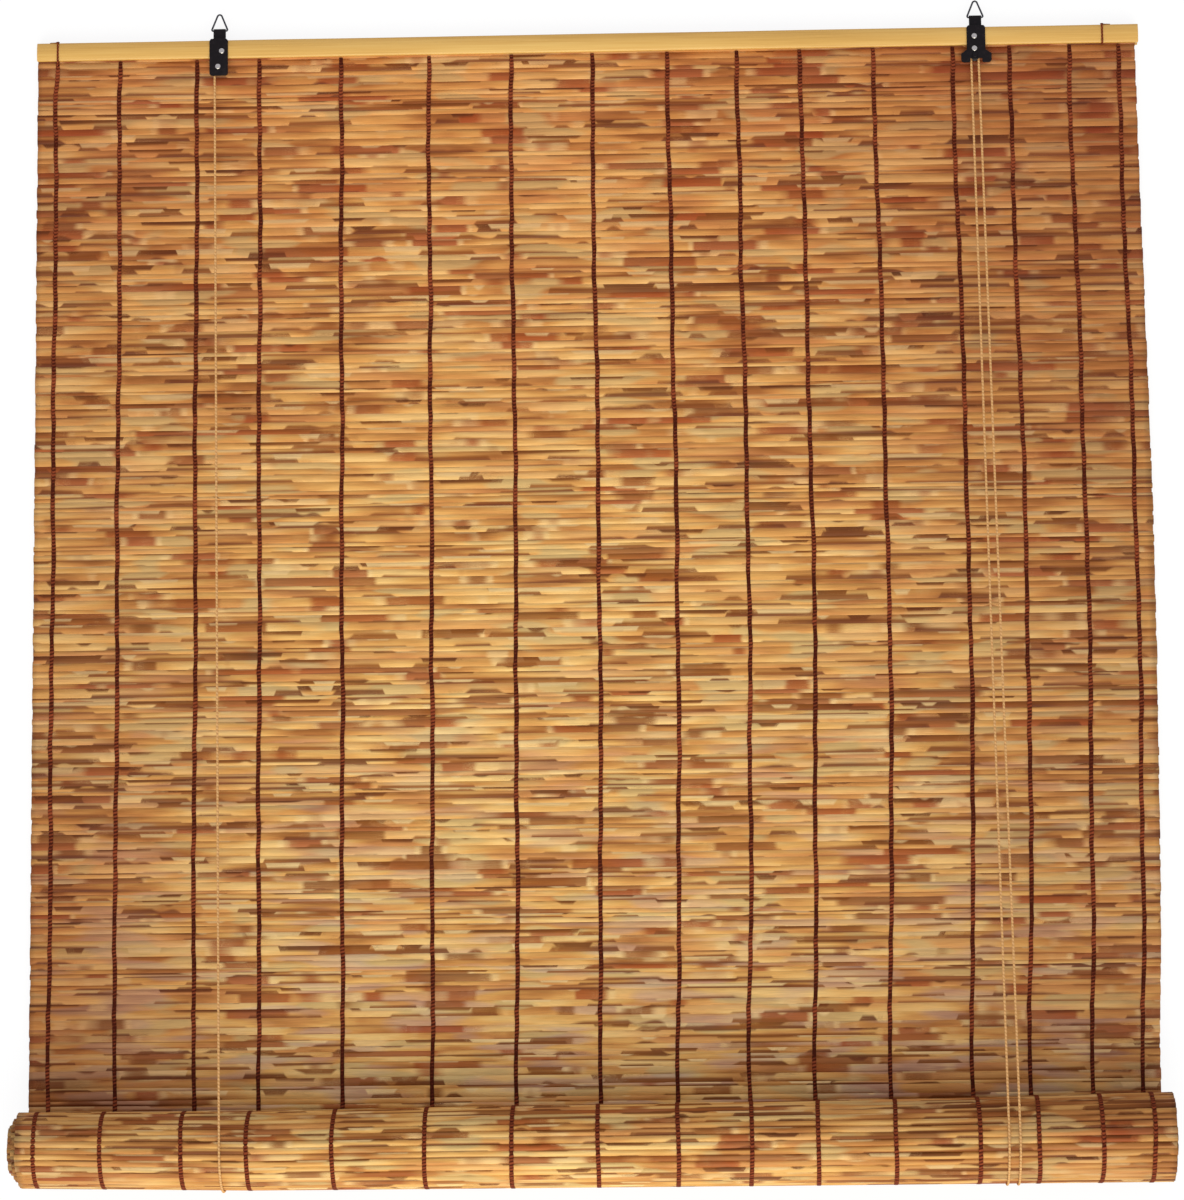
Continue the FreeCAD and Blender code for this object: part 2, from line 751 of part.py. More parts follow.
def build_pulley(hanger):
    """A small grooved pulley between the front cheek and the screen, free on its axle."""
    label = f"pulley_{hanger.side}"
    body = new_body(label)
    profile = new_sketch(body, label + "_profile", "XZ_Plane")
    groove = CORD_RADIUS + size("groove_clearance")
    floor = groove * HALF_SIDE
    bore = SHANK_RADIUS + RUNNING
    rim = CORD_CIRCLE + size("flange_height")
    mouth = groove + size("flange_flare")
    half = mouth + size("flange_width")
    draw_outline(
        profile,
        (bore, -half),
        (rim, -half),
        (rim, -mouth),
        (CORD_CIRCLE - floor, -groove),
        (CORD_CIRCLE - groove, -floor),
        (CORD_CIRCLE - groove, floor),
        (CORD_CIRCLE - floor, groove),
        (rim, mouth),
        (rim, half),
        (bore, half),
    )
    revolve(body, profile)
    body.Placement = hanger.place(hanger.axle, PULLEY_HEIGHT.value)


def bar_section(middle, along, radius):
    """The section of a cord or wire that runs along a direction, with its sides at the radius."""
    side = along.cross(Vector(0, 0, 1))
    if side.Length < HALF_SIDE:
        side = along.cross(Vector(1, 0, 0))
    side.normalize()
    up = side.cross(along).normalize()
    corner = radius / math.cos(math.pi / BAR_SIDES)
    corners = []
    for index in range(BAR_SIDES):
        angle = (index + 0.5) * math.tau / BAR_SIDES
        corners.append(middle + side * corner * math.cos(angle) + up * corner * math.sin(angle))
    return Part.Face(Part.makePolygon(corners + corners[:1]))


def loop_bends(corners, radii):
    """Where the bend at each corner of a closed loop begins, its centre, where it ends, and its angle."""
    bends = []
    for index, (corner, radius) in enumerate(zip(corners, radii)):
        before = (corners[index - 1] - corner).normalize()
        after = (corners[(index + 1) % len(corners)] - corner).normalize()
        half_angle = before.getAngle(after) / 2
        inset = radius / math.tan(half_angle)
        centre = corner + (before + after).normalize() * (radius / math.sin(half_angle))
        bends.append((corner + before * inset, centre, corner + after * inset, math.pi - 2 * half_angle))
    return bends


def build_ring(hanger):
    """A bent-wire triangle whose straight side lies in the hanger's fold."""
    half_width = size("ring_width").value / 2 - WIRE_RADIUS.value
    base = size("ring_axis_rise").value
    foot = size("foot_bend").value
    corners = [
        Vector(-half_width, base, 0),
        Vector(0, base + size("ring_length").value, 0),
        Vector(half_width, base, 0),
    ]
    bends = loop_bends(corners, (foot, size("tip_bend").value, foot))
    pieces = []
    for index, (begin, centre, end, angle) in enumerate(bends):
        previous = bends[index - 1][2]
        section = bar_section(previous, (begin - previous).normalize(), WIRE_RADIUS.value)
        pieces.append(section.extrude(begin - previous))
        section = section.translated(begin - previous)
        pieces.append(section.revolve(centre, Vector(0, 0, -1), math.degrees(angle)))
    shape = pieces[0].multiFuse(pieces[1:])
    label = f"ring_{hanger.side}"
    add_feature(label, shape.Solids[0], at(hanger.x.value, HEAD_TOP, HANGER_HIGH.value / 2))


# Cords


def straight_cord(label, begin, end):
    """A cord pulled straight between two points, just clear of the pieces at its ends."""
    direction = (end - begin).normalize()
    start = begin + direction * PART_GAP.value
    run = end - direction * PART_GAP.value - start
    add_feature(label, bar_section(start, direction, CORD_RADIUS.value).extrude(run))


def build_sling(leg):
    """The cord round the roll, from where its front run touches it to the floor."""
    along = Vector(0, -math.cos(leg.lean), math.sin(leg.lean))
    middle = Vector(leg.roll_x, AXIS_Y, AXIS_Z)
    section = bar_section(leg.touch, along, CORD_RADIUS.value)
    shape = section.revolve(middle, Vector(1, 0, 0), 180 + math.degrees(leg.lean))
    add_feature(f"cord_sling_{leg.name}", shape)


def build_bight(label, hanger, radius, height, tail):
    """The cord where it goes round an axle, with a short end on the right where nothing follows."""
    foot = Vector(radius.value, 0, 0)
    section = bar_section(foot, Vector(0, 1, 0), CORD_RADIUS.value)
    shape = section.revolve(Vector(), Vector(0, 0, 1), 180)
    if tail:
        shape = shape.fuse(section.extrude(Vector(0, -size("cord_tail").value, 0))).Solids[0]
    add_feature(label, shape, hanger.place(hanger.axle, height))


def build_cords():
    """Both lift cords: each leg's front run, its sling round the roll and its back run, and the bights."""
    for leg in LEGS:
        straight_cord(f"cord_front_{leg.name}", leg.top, leg.touch)
        straight_cord(f"cord_back_{leg.name}", leg.back_low, leg.back_top)
        build_sling(leg)
    for hanger in HANGERS:
        tail = hanger is LEFT_HANGER
        build_bight(f"cord_bight_front_{hanger.side}", hanger, CORD_CIRCLE, PULLEY_HEIGHT.value, tail)
        build_bight(f"cord_bight_back_{hanger.side}", hanger, BACK_CIRCLE, BACK_BIGHT_HEIGHT.value, tail)


def build_all():
    build_slats()
    build_flat_reeds()
    build_flat_threads()
    build_roll_reeds()
    build_roll_threads()
    build_ties()
    for hanger in HANGERS:
        build_hanger(hanger)
        build_pulley(hanger)
        build_ring(hanger)
        for number, spot in enumerate(hanger.rivets, start=1):
            build_rivet(f"rivet_{hanger.side}_{number}", hanger.place(spot))
        build_rivet(f"axle_{hanger.side}", hanger.place(hanger.axle))
    build_cords()
    doc.recompute()


def sub_parts():
    """The finished pieces: bodies, features and cuts. The boxes that a cut is made from are left out."""
    kinds = ("PartDesign::Body", "Part::Feature", "Part::Cut")
    return [thing for thing in doc.Objects if thing.TypeId in kinds]


def write_parts():
    os.makedirs("parts", exist_ok=True)
    for thing in doc.Objects:
        if "Invalid" in thing.State or "Error" in thing.State:
            raise RuntimeError(f"{thing.Label} failed: {thing.State}")
    pieces = sub_parts()
    for piece in pieces:
        if piece.Shape.isNull() or not piece.Shape.isValid():
            raise RuntimeError(f"{piece.Label} has no valid shape")
    for piece in pieces:
        piece.Shape.exportStep(f"parts/{piece.Label}.step")
        box = piece.Shape.BoundBox
        low = f"{box.XMin:.2f} {box.YMin:.2f} {box.ZMin:.2f}"
        high = f"{box.XMax:.2f} {box.YMax:.2f} {box.ZMax:.2f}"
        print(f"{piece.Label}: {len(piece.Shape.Solids)} solids, {piece.Shape.Volume:.1f}, {low} to {high}")


build_all()
write_parts()
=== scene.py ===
"""Dresses the CAD frame of a roll-up reed blind: reeds, warp threads, slats, lift cords, hangers and rings."""

import math

import bpy
import numpy as np
from mathutils import Matrix, Vector


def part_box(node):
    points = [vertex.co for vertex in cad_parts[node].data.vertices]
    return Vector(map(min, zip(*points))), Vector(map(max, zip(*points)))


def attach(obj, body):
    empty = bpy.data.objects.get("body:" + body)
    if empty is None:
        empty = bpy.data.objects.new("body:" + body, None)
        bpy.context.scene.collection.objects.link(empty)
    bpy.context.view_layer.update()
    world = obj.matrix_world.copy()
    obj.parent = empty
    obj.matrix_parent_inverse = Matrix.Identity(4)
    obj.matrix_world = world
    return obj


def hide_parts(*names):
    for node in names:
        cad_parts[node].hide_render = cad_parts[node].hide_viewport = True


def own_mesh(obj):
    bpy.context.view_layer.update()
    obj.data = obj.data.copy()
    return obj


bl_info = {
    "name": "Roll-up reed blind",
    "version": (1, 0, 0),
    "blender": (4, 5, 0),
    "location": "View3D > Sidebar > Reed blind",
    "description": "Models the woven reeds, threads, cords and fittings of a roll-up blind",
    "category": "Object",
}

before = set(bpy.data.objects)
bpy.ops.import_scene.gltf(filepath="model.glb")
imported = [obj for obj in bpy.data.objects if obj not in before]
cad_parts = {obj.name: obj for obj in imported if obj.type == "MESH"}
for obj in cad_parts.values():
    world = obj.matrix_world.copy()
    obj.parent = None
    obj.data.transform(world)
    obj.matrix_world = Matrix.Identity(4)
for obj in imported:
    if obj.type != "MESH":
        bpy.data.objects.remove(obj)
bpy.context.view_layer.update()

# Places that come from the frame, in metres.
MM = 0.001
REEDS_LOW, REEDS_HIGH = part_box("flat_reeds")
ROLL_LOW, ROLL_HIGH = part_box("roll_reeds")
SLAT_LOW, SLAT_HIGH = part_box("front_slat")
BACK_LOW, BACK_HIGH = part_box("back_slat")
HALF_WIDTH = REEDS_HIGH.x
AXIS_Y = (ROLL_LOW.y + ROLL_HIGH.y) / 2
AXIS_Z = (ROLL_LOW.z + ROLL_HIGH.z) / 2
ROLL_RADIUS = (ROLL_HIGH.y - ROLL_LOW.y) / 2
HEAD_TOP = SLAT_HIGH.y
HEAD_BOTTOM = SLAT_LOW.y
SCREEN_LOW = AXIS_Z - ROLL_RADIUS
SCREEN_HEAD_LOW = BACK_HIGH.z
REED_THICKNESS = SLAT_LOW.z - BACK_HIGH.z

# Where the flat screen's lowest full reed starts, and how the screen lies in the roll, in metres.
REEDS_FIRST = REEDS_LOW.y + 1 * MM
TURN_STEP = 7.4 * MM
CORE_RADIUS = 15 * MM
TELESCOPE = 12.5 * MM
OUTER_TURN_REEDS = 40

# A warp thread's half thickness and how far it sinks between two reeds, in metres.
THREAD_HALF = 0.25 * MM
THREAD_SINK = 0.5 * MM

# How finely the many reeds and threads are meshed.
REED_RINGS, REED_SIDES = 4, 8
THREAD_RINGS_PER_REED, THREAD_SIDES = 3, 6

# The material numbers the reeds from these numbers on: flat, under the roll and in the roll.
FLAT_FIRST, JOIN_FIRST, ROLL_FIRST = 0, 200, 400

# The warp threads, from the blind's left edge.
THREAD_XS = [
    place * MM - HALF_WIDTH
    for place in (21, 91, 175, 244, 333, 429, 519, 608, 691, 767, 836, 916, 1002, 1063, 1128, 1181)
]
LEGS = ("left", "right_inner", "right_outer")
SIDES = ("left", "right")


# Mesh tools


def to_mode(mode):
    bpy.ops.object.mode_set(mode=mode)


def clear_selection():
    if bpy.context.mode != "OBJECT":
        to_mode("OBJECT")
    bpy.ops.object.select_all(action="DESELECT")


def new_object(name, data):
    obj = bpy.data.objects.new(name, data)
    bpy.context.scene.collection.objects.link(obj)
    return obj


def make_active(obj):
    clear_selection()
    obj.select_set(True)
    bpy.context.view_layer.objects.active = obj


def apply_place(obj):
    make_active(obj)
    bpy.ops.object.transform_apply(location=True, rotation=True, scale=True)


def apply_modifiers(obj):
    make_active(obj)
    for modifier in list(obj.modifiers):
        bpy.ops.object.modifier_apply(modifier=modifier.name)


def select(obj, kind, test):
    """Goes to edit mode with the faces or edges selected that pass a test.

    A face is tested by its middle and normal, an edge by its two ends.
    """
    make_active(obj)
    to_mode("EDIT")
    bpy.ops.mesh.select_mode(type=kind)
    bpy.ops.mesh.select_all(action="DESELECT")
    to_mode("OBJECT")
    points = obj.data.vertices
    if kind == "FACE":
        for face in obj.data.polygons:
            face.select = test(face.center, face.normal)
    else:
        for edge in obj.data.edges:
            edge.select = test(*(points[index].co for index in edge.vertices))
    to_mode("EDIT")


def cut_edges(obj, cuts, test):
    """Cuts the edges that pass a test of their two ends."""
    select(obj, "EDGE", test)
    bpy.ops.mesh.subdivide(number_cuts=cuts)
    to_mode("OBJECT")


def ease_edges(obj, width, limit):
    """Rounds the edges whose faces meet at more than a limit in degrees."""
    ease = obj.modifiers.new("ease", "BEVEL")
    ease.width = width
    ease.segments = 2
    ease.limit_method = "ANGLE"
    ease.angle_limit = math.radians(limit)
    apply_modifiers(obj)


def mend_normals(obj):
    make_active(obj)
    to_mode("EDIT")
    bpy.ops.mesh.select_all(action="SELECT")
    bpy.ops.mesh.normals_make_consistent(inside=False)
    to_mode("OBJECT")


def joined(pieces):
    """Joins objects into the first of them."""
    clear_selection()
    for piece in pieces:
        piece.select_set(True)
    bpy.context.view_layer.objects.active = pieces[0]
    bpy.ops.object.join()
    return pieces[0]


def places(obj):
    """All vertex places of a mesh as an array."""
    found = np.empty(len(obj.data.vertices) * 3)
    obj.data.vertices.foreach_get("co", found)
    return found.reshape(-1, 3)


def set_places(obj, points):
    obj.data.vertices.foreach_set("co", np.asarray(points, float).ravel())
    obj.data.update()


def repeated(obj, count):
    """Makes one mesh of count copies, a metre apart along Y, and returns the places by copy."""
    array = obj.modifiers.new("row", "ARRAY")
    array.count = count
    array.use_relative_offset = False
    array.use_constant_offset = True
    array.constant_offset_displace = (0, 1, 0)
    apply_modifiers(obj)
    points = places(obj).reshape(count, -1, 3)
    points[:, :, 1] -= np.arange(count)[:, None]
    return points


def smooth_step(x):
    x = np.clip(x, 0, 1)
    return x * x * (3 - 2 * x)


def wander(rng, x, length, count):
    """Soft random curves over x, one row for each of count, that change over about length."""
    total = np.zeros(np.shape(x))
    for octave in (1, 2.3):
        phase = rng.uniform(0, math.tau, (count, 1))
        stretch = rng.uniform(0.7, 1.4, (count, 1)) * octave
        total = total + np.sin(x * stretch * math.tau / length + phase) / octave
    return total / 1.43  # the most that both waves reach together


def reed_rows():
    """Edges between the reeds of the flat screen: no two reeds are quite as thick as each other."""
    count = round((REEDS_HIGH.y - REEDS_FIRST) / settings().reed_pitch)
    widths = np.random.default_rng(7).uniform(0.58, 1.42, count)
    edges = np.concatenate([[0], np.cumsum(widths)])
    return REEDS_FIRST + edges / edges[-1] * (REEDS_HIGH.y - REEDS_FIRST)


def screen_low(y):
    """Height of the flat screen's back: it rises from the foot of the roll to the back slat."""
    share = np.clip((y - AXIS_Y) / (HEAD_BOTTOM - AXIS_Y), 0, 1)
    return SCREEN_LOW + share * (SCREEN_HEAD_LOW - SCREEN_LOW)


def bow(x, y):
    """How far the hanging screen swings out to the right: nothing on its left, most halfway down."""
    halfway, back, foot = 5.5, 2.8, 3.5
    share = np.clip((y - AXIS_Y) / (HEAD_TOP - AXIS_Y), 0, 1)
    swing = halfway * np.sin(share * math.pi) ** 2 - back - foot * smooth_step((0.2 - share) / 0.12)
    return smooth_step((x + 0.35) / 0.7) * swing * MM


def set_attribute(obj, name, values):
    layer = obj.data.attributes.new(name, "FLOAT", "POINT")
    layer.data.foreach_set("value", np.asarray(values, np.float32).ravel())


def set_uv(obj, name, first, second):
    """Gives a mesh coordinates of its own, from two numbers for each of its points."""
    loops = np.empty(len(obj.data.loops), int)
    obj.data.loops.foreach_get("vertex_index", loops)
    while obj.data.uv_layers:
        obj.data.uv_layers.remove(obj.data.uv_layers[0])
    layer = obj.data.uv_layers.new(name=name)
    pairs = np.stack([np.ravel(first)[loops], np.ravel(second)[loops]], axis=1)
    layer.data.foreach_set("uv", pairs.astype(np.float32).ravel())


def finished(obj, name, material, body, nodes=(), smooth=40):
    """Names a finished piece, gives it its material, and lets it ride and stand for its CAD nodes."""
    apply_place(obj)
    obj.name = name
    obj.data.name = name
    obj.data.materials.clear()
    obj.data.materials.append(material)
    bpy.ops.object.shade_smooth_by_angle(angle=math.radians(smooth))
    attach(obj, body)
    if nodes:
        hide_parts(*nodes)


# Materials


def linear(colour):
    """A hex colour in Blender's linear values."""
    channels = [int(colour[i:i + 2], 16) / 255 for i in (1, 3, 5)]
    return [c / 12.92 if c <= 0.04045 else ((c + 0.055) / 1.055) ** 2.4 for c in channels] + [1.0]


def add(tree, kind, settings=None, inputs=None):
    """Adds a node with its settings. An input is a value, or the output that feeds it."""
    node = tree.nodes.new(kind)
    for name, value in (settings or {}).items():
        setattr(node, name, value)
    for name, value in (inputs or {}).items():
        if isinstance(value, bpy.types.NodeSocket):
            tree.links.new(value, node.inputs[name])
        else:
            node.inputs[name].default_value = value
    return node


def new_material(name):
    material = bpy.data.materials.new(name)
    material.use_nodes = True
    tree = material.node_tree
    tree.nodes.clear()
    return material, tree


def set_stops(ramp, stops):
    """Sets the colours of a ramp by their places."""
    elements = ramp.color_ramp.elements
    while len(elements) < len(stops):
        elements.new(0.5)
    for element, (place, colour) in zip(elements, stops):
        element.position = place
        element.color = colour


def maths(tree, operation, first, second, third=0.0):
    return add(tree, "ShaderNodeMath", {"operation": operation}, {0: first, 1: second, 2: third}).outputs[0]


def mixed(tree, share, first, second, blend="MIX"):
    return add(tree, "ShaderNodeMix", {"data_type": "RGBA", "blend_type": blend},
               {0: share, 6: first, 7: second}).outputs[2]


def ranged(tree, value, low, high, to_low=0.0, to_high=1.0):
    """Maps a value from low and high to to_low and to_high, and keeps it between them."""
    return add(tree, "ShaderNodeMapRange", inputs={
        "Value": value, "From Min": low, "From Max": high, "To Min": to_low, "To Max": to_high}).outputs[0]


def object_noise(tree, scales, detail, roughness=0.5):
    """Noise in the object's own coordinates, with its scales per metre along each axis."""
    spot = add(tree, "ShaderNodeTexCoord")
    scaled = add(tree, "ShaderNodeVectorMath", {"operation": "MULTIPLY"}, {0: spot.outputs["Object"], 1: scales})
    return add(tree, "ShaderNodeTexNoise", inputs={
        "Vector": scaled.outputs[0], "Scale": 1.0, "Detail": detail, "Roughness": roughness}).outputs[0]


def end_surface(tree, colour, roughness, height, strength, depth, more):
    """Ends a material in a surface whose fine relief comes from a height."""
    bump = add(tree, "ShaderNodeBump", inputs={"Strength": strength, "Distance": depth, "Height": height})
    shader = add(tree, "ShaderNodeBsdfPrincipled", inputs={
        "Base Color": colour, "Roughness": roughness, "Normal": bump.outputs[0], **more})
    add(tree, "ShaderNodeOutputMaterial", inputs={0: shader.outputs[0]})


def reed_material(values):
    """Dried reed stem, cut and left unpeeled: satin straw skin with brown leaf-sheath scars and fine fibres."""
    material, tree = new_material("dried_reed")

    def blotches(place, along_scale, reed_scale, seed, low, high, detail=1.0):
        """A mask of blotches: scales are per metre along the reed and per reed across them."""
        stretched = add(tree, "ShaderNodeVectorMath", {"operation": "MULTIPLY_ADD"},
                        {0: place.outputs[0], 1: (along_scale, reed_scale, 0), 2: (seed, seed * 3.7, 0)})
        noise = add(tree, "ShaderNodeTexNoise", {"noise_dimensions": "2D"},
                    {"Vector": stretched.outputs[0], "Scale": 1.0, "Detail": detail, "Roughness": 0.5})
        return ranged(tree, noise.outputs[0], low, high)

    def times(first, second):
        return maths(tree, "MULTIPLY", first, second)

    stem = add(tree, "ShaderNodeUVMap", {"uv_map": "stem"})
    split = add(tree, "ShaderNodeSeparateXYZ", inputs={0: stem.outputs[0]})
    along, number = split.outputs[0], split.outputs[1]
    across = add(tree, "ShaderNodeAttribute", {"attribute_name": "across"}).outputs["Fac"]
    # height on the screen counted in reeds, so that a stain can lie over two of them
    height = maths(tree, "MULTIPLY_ADD", across, 0.5, number)
    screen = add(tree, "ShaderNodeCombineXYZ", inputs={0: along, 1: height})
    # the marks on one reed are shifted along it by up to 35 mm, so they end in steps
    shift = add(tree, "ShaderNodeTexWhiteNoise", {"noise_dimensions": "1D"}, {"W": number}).outputs["Value"]
    moved = maths(tree, "MULTIPLY_ADD", shift, 0.035, along)
    reed = add(tree, "ShaderNodeCombineXYZ", inputs={0: moved, 1: number})

    # fibres about a millimetre apart, coarser than real, and some centimetres long
    fibres = object_noise(tree, (45, 900, 900), 3.0, 0.6)

    # plain skin: streaks along the stem over a tone of each reed's own
    streaks = times(blotches(screen, 9.0, 0.8, 3.0, 0.28, 0.72, 2.5), 0.48)
    own = times(blotches(reed, 8.0, 7.3, 5.0, 0.28, 0.72), 0.52)
    tone = add(tree, "ShaderNodeValToRGB", inputs={0: maths(tree, "ADD", streaks, own)})
    set_stops(tone, ((0.12, values.shade), (0.34, values.tan), (0.55, values.honey), (0.80, values.straw)))

    # pinkish and weathered stretches, and duller lilac ones on the lower third of the screen, strongest just above
    # the roll, where the lilac is partly painted shade: the cool tint of the roll's shadow
    lower = ranged(tree, number, 85.0, 20.0)
    layers = [
        (blotches(screen, 7.0, 0.45, 15.0, 0.52, 0.68), 0.40, values.pink),
        (blotches(screen, 10.0, 0.40, 19.0, 0.60, 0.67), 0.75, values.grey),
        # lilac: partly the reeds' own dull tone, partly painted shade tinting the roll's shadow
        (times(blotches(screen, 9.0, 0.55, 71.0, 0.52, 0.64), lower), 0.45, values.lilac),
    ]

    # leaf-sheath scars: red-brown patches with fibrous ends, and paler skin beside some of them
    cluster = times(blotches(screen, 3.0, 0.07, 61.0, 0.35, 0.65), 0.07)
    ragged = maths(tree, "ADD", times(fibres, 0.05), cluster)
    scar_noise = maths(tree, "ADD", blotches(reed, 10.0, 0.60, 21.0, 0.0, 1.0, 1.6), ragged)
    level = values.scar_level
    scars = ranged(tree, scar_noise, level, level + 0.04)
    near = ranged(tree, scar_noise, level - 0.045, level - 0.02)
    layers.append((times(near, blotches(reed, 9.0, 4.1, 43.0, 0.50, 0.58)), 0.6, values.cream))
    # the scars on the flat screen are redder towards its head
    flat = maths(tree, "LESS_THAN", number, (JOIN_FIRST + ROLL_FIRST) / 2)
    upper = times(ranged(tree, number, 80.0, 165.0), flat)
    redder = maths(tree, "MULTIPLY_ADD", upper, 0.5, blotches(reed, 5.0, 0.9, 11.0, 0.35, 0.65))
    layers.append((scars, 0.85, mixed(tree, redder, values.brown, values.rust)))

    # dashes at a reed's edges, thicker in their middle, as long as the gap stays open: dark ones, partly soil and
    # partly painted shadow in the gap between two reeds, and light cream ones on the edge towards the head, which are
    # painted highlight
    low_edge = ranged(tree, across, -0.83, 0.83)
    high_edge = maths(tree, "SUBTRACT", 1.0, low_edge)
    depth = maths(tree, "MULTIPLY_ADD", blotches(reed, 2.0, 2.7, 33.0, 0.42, 0.62), 0.40, 0.28)
    dark = mixed(tree, blotches(screen, 9.0, 0.7, 40.0, 0.35, 0.65), values.brown, values.gap_shade_and_soil)
    for edge, seed, low, paint in (
        (low_edge, 31.0, 0.51, dark), (high_edge, 37.0, 0.59, dark), (high_edge, 53.0, 0.61, values.cream)
    ):
        reach = blotches(reed, 12.0, 5.3, seed, low, low + 0.035)
        over = maths(tree, "SUBTRACT", times(reach, depth), edge)
        layers.append((ranged(tree, over, 0.0, 0.25), 0.9, paint))
    colour = tone.outputs[0]
    for mask, share, paint in layers:
        colour = mixed(tree, times(mask, share), colour, paint)

    # casts: dark fibres, redder towards the head, painted shade towards both ends and at the right, deepest at the
    # right towards the head, darker low on the left, and grey cut ends
    sideways = maths(tree, "SUBTRACT", along, 2.0)
    from_middle = maths(tree, "ABSOLUTE", sideways, 0.0)
    # painted shade on the right of the screen, deeper towards the head
    right = times(ranged(tree, sideways, 0.0, 0.45), maths(tree, "MULTIPLY_ADD", upper, 0.6, 0.4))
    for share, cast in (
        (1.0, ranged(tree, fibres, 0.25, 0.75, 0.84, 1.12)),
        (upper, linear("#EDD6CE")),
        # painted shade towards both ends of the reeds
        (ranged(tree, from_middle, 0.25, 0.6), linear("#E6DEDE")),
        (right, linear("#E2D3CE")),
        (times(ranged(tree, sideways, -0.35, -0.55), lower), linear("#E2CDBF")),
        (times(ranged(tree, from_middle, 0.594, 0.5995), 0.4), linear("#8C8070")),
    ):
        colour = mixed(tree, share, colour, cast, "MULTIPLY")
    gloss = ranged(tree, fibres, 0.0, 1.0, 0.42, 0.68)
    end_surface(tree, colour, gloss, fibres, 0.35, 0.4 * MM, {"Specular IOR Level": 0.2})
    return material


def twisted_material(name, light, dark, turn, roughness, sheen):
    """A twisted yarn: soft and matt, with its plies as slanted bands, one every turn, lighter on each ply's crown as
    a painted highlight, and darker where it dips between reeds as painted shade.

    The turns are drawn longer than a real yarn's.
    """
    material, tree = new_material(name)
    lay = add(tree, "ShaderNodeUVMap", {"uv_map": "lay"}).outputs[0]
    scaled = add(tree, "ShaderNodeVectorMath", {"operation": "MULTIPLY"}, {0: lay, 1: (1 / turn, 1, 0)})
    slant = add(tree, "ShaderNodeTexWave", {"bands_direction": "DIAGONAL"},
                {"Vector": scaled.outputs[0], "Scale": 0.5, "Distortion": 0.6, "Detail": 1.0})
    plies = maths(tree, "MULTIPLY", slant.outputs["Fac"], object_noise(tree, (700, 700, 700), 2.0))
    dip = add(tree, "ShaderNodeAttribute", {"attribute_name": "dip"}).outputs["Fac"]
    # painted highlight on each ply's crown, painted shade where the yarn dips
    painted_ply_light = ranged(tree, maths(tree, "SUBTRACT", plies, dip), -0.1, 0.5)
    colour = mixed(tree, painted_ply_light, linear(dark), linear(light))
    end_surface(tree, colour, roughness, plies, 0.5, 0.3 * MM, {"Specular IOR Level": sheen})
    return material


def bamboo_material(values):
    """Split bamboo, planed and clear-coated: golden, with straight fibre bundles and a soft shine."""
    material, tree = new_material("split_bamboo")
    # bundles about 1.4 mm apart, coarser than real, over broad bands
    fibres = object_noise(tree, (9, 700, 700), 4.0, 0.65)
    broad = object_noise(tree, (3, 60, 60), 2.0)
    both = add(tree, "ShaderNodeMix", inputs={0: 0.5, 2: fibres, 3: broad})
    colour = add(tree, "ShaderNodeValToRGB", inputs={0: both.outputs[0]})
    set_stops(colour, ((0.3, values.bamboo_dark), (0.48, values.bamboo), (0.68, values.bamboo_light)))
    end_surface(tree, colour.outputs[0], 0.42, fibres, 0.2, 0.3 * MM, {"Coat Weight": 0.15, "Coat Roughness": 0.35})
    return material


def worn_material(name, colour, metallic, roughness, wear, scale, sheen=0.5):
    """Small metal or moulded parts: an even finish that handling has dulled in patches."""
    material, tree = new_material(name)
    patches = object_noise(tree, (scale, scale, scale), 5.0, 0.65)
    rough = ranged(tree, patches, 0.3, 0.7, roughness * 0.75, min(1.0, roughness * 1.35))
    tint = mixed(tree, ranged(tree, patches, 0.52, 0.72), linear(colour), linear(wear))
    end_surface(tree, tint, rough, patches, 0.15, 0.2 * MM, {"Metallic": metallic, "Specular IOR Level": sheen})
    return material


# Settings


def colour_property(name, value, description):
    return bpy.props.FloatVectorProperty(
        name=name, description=description, default=linear(value), subtype="COLOR", size=4, min=0, max=1)


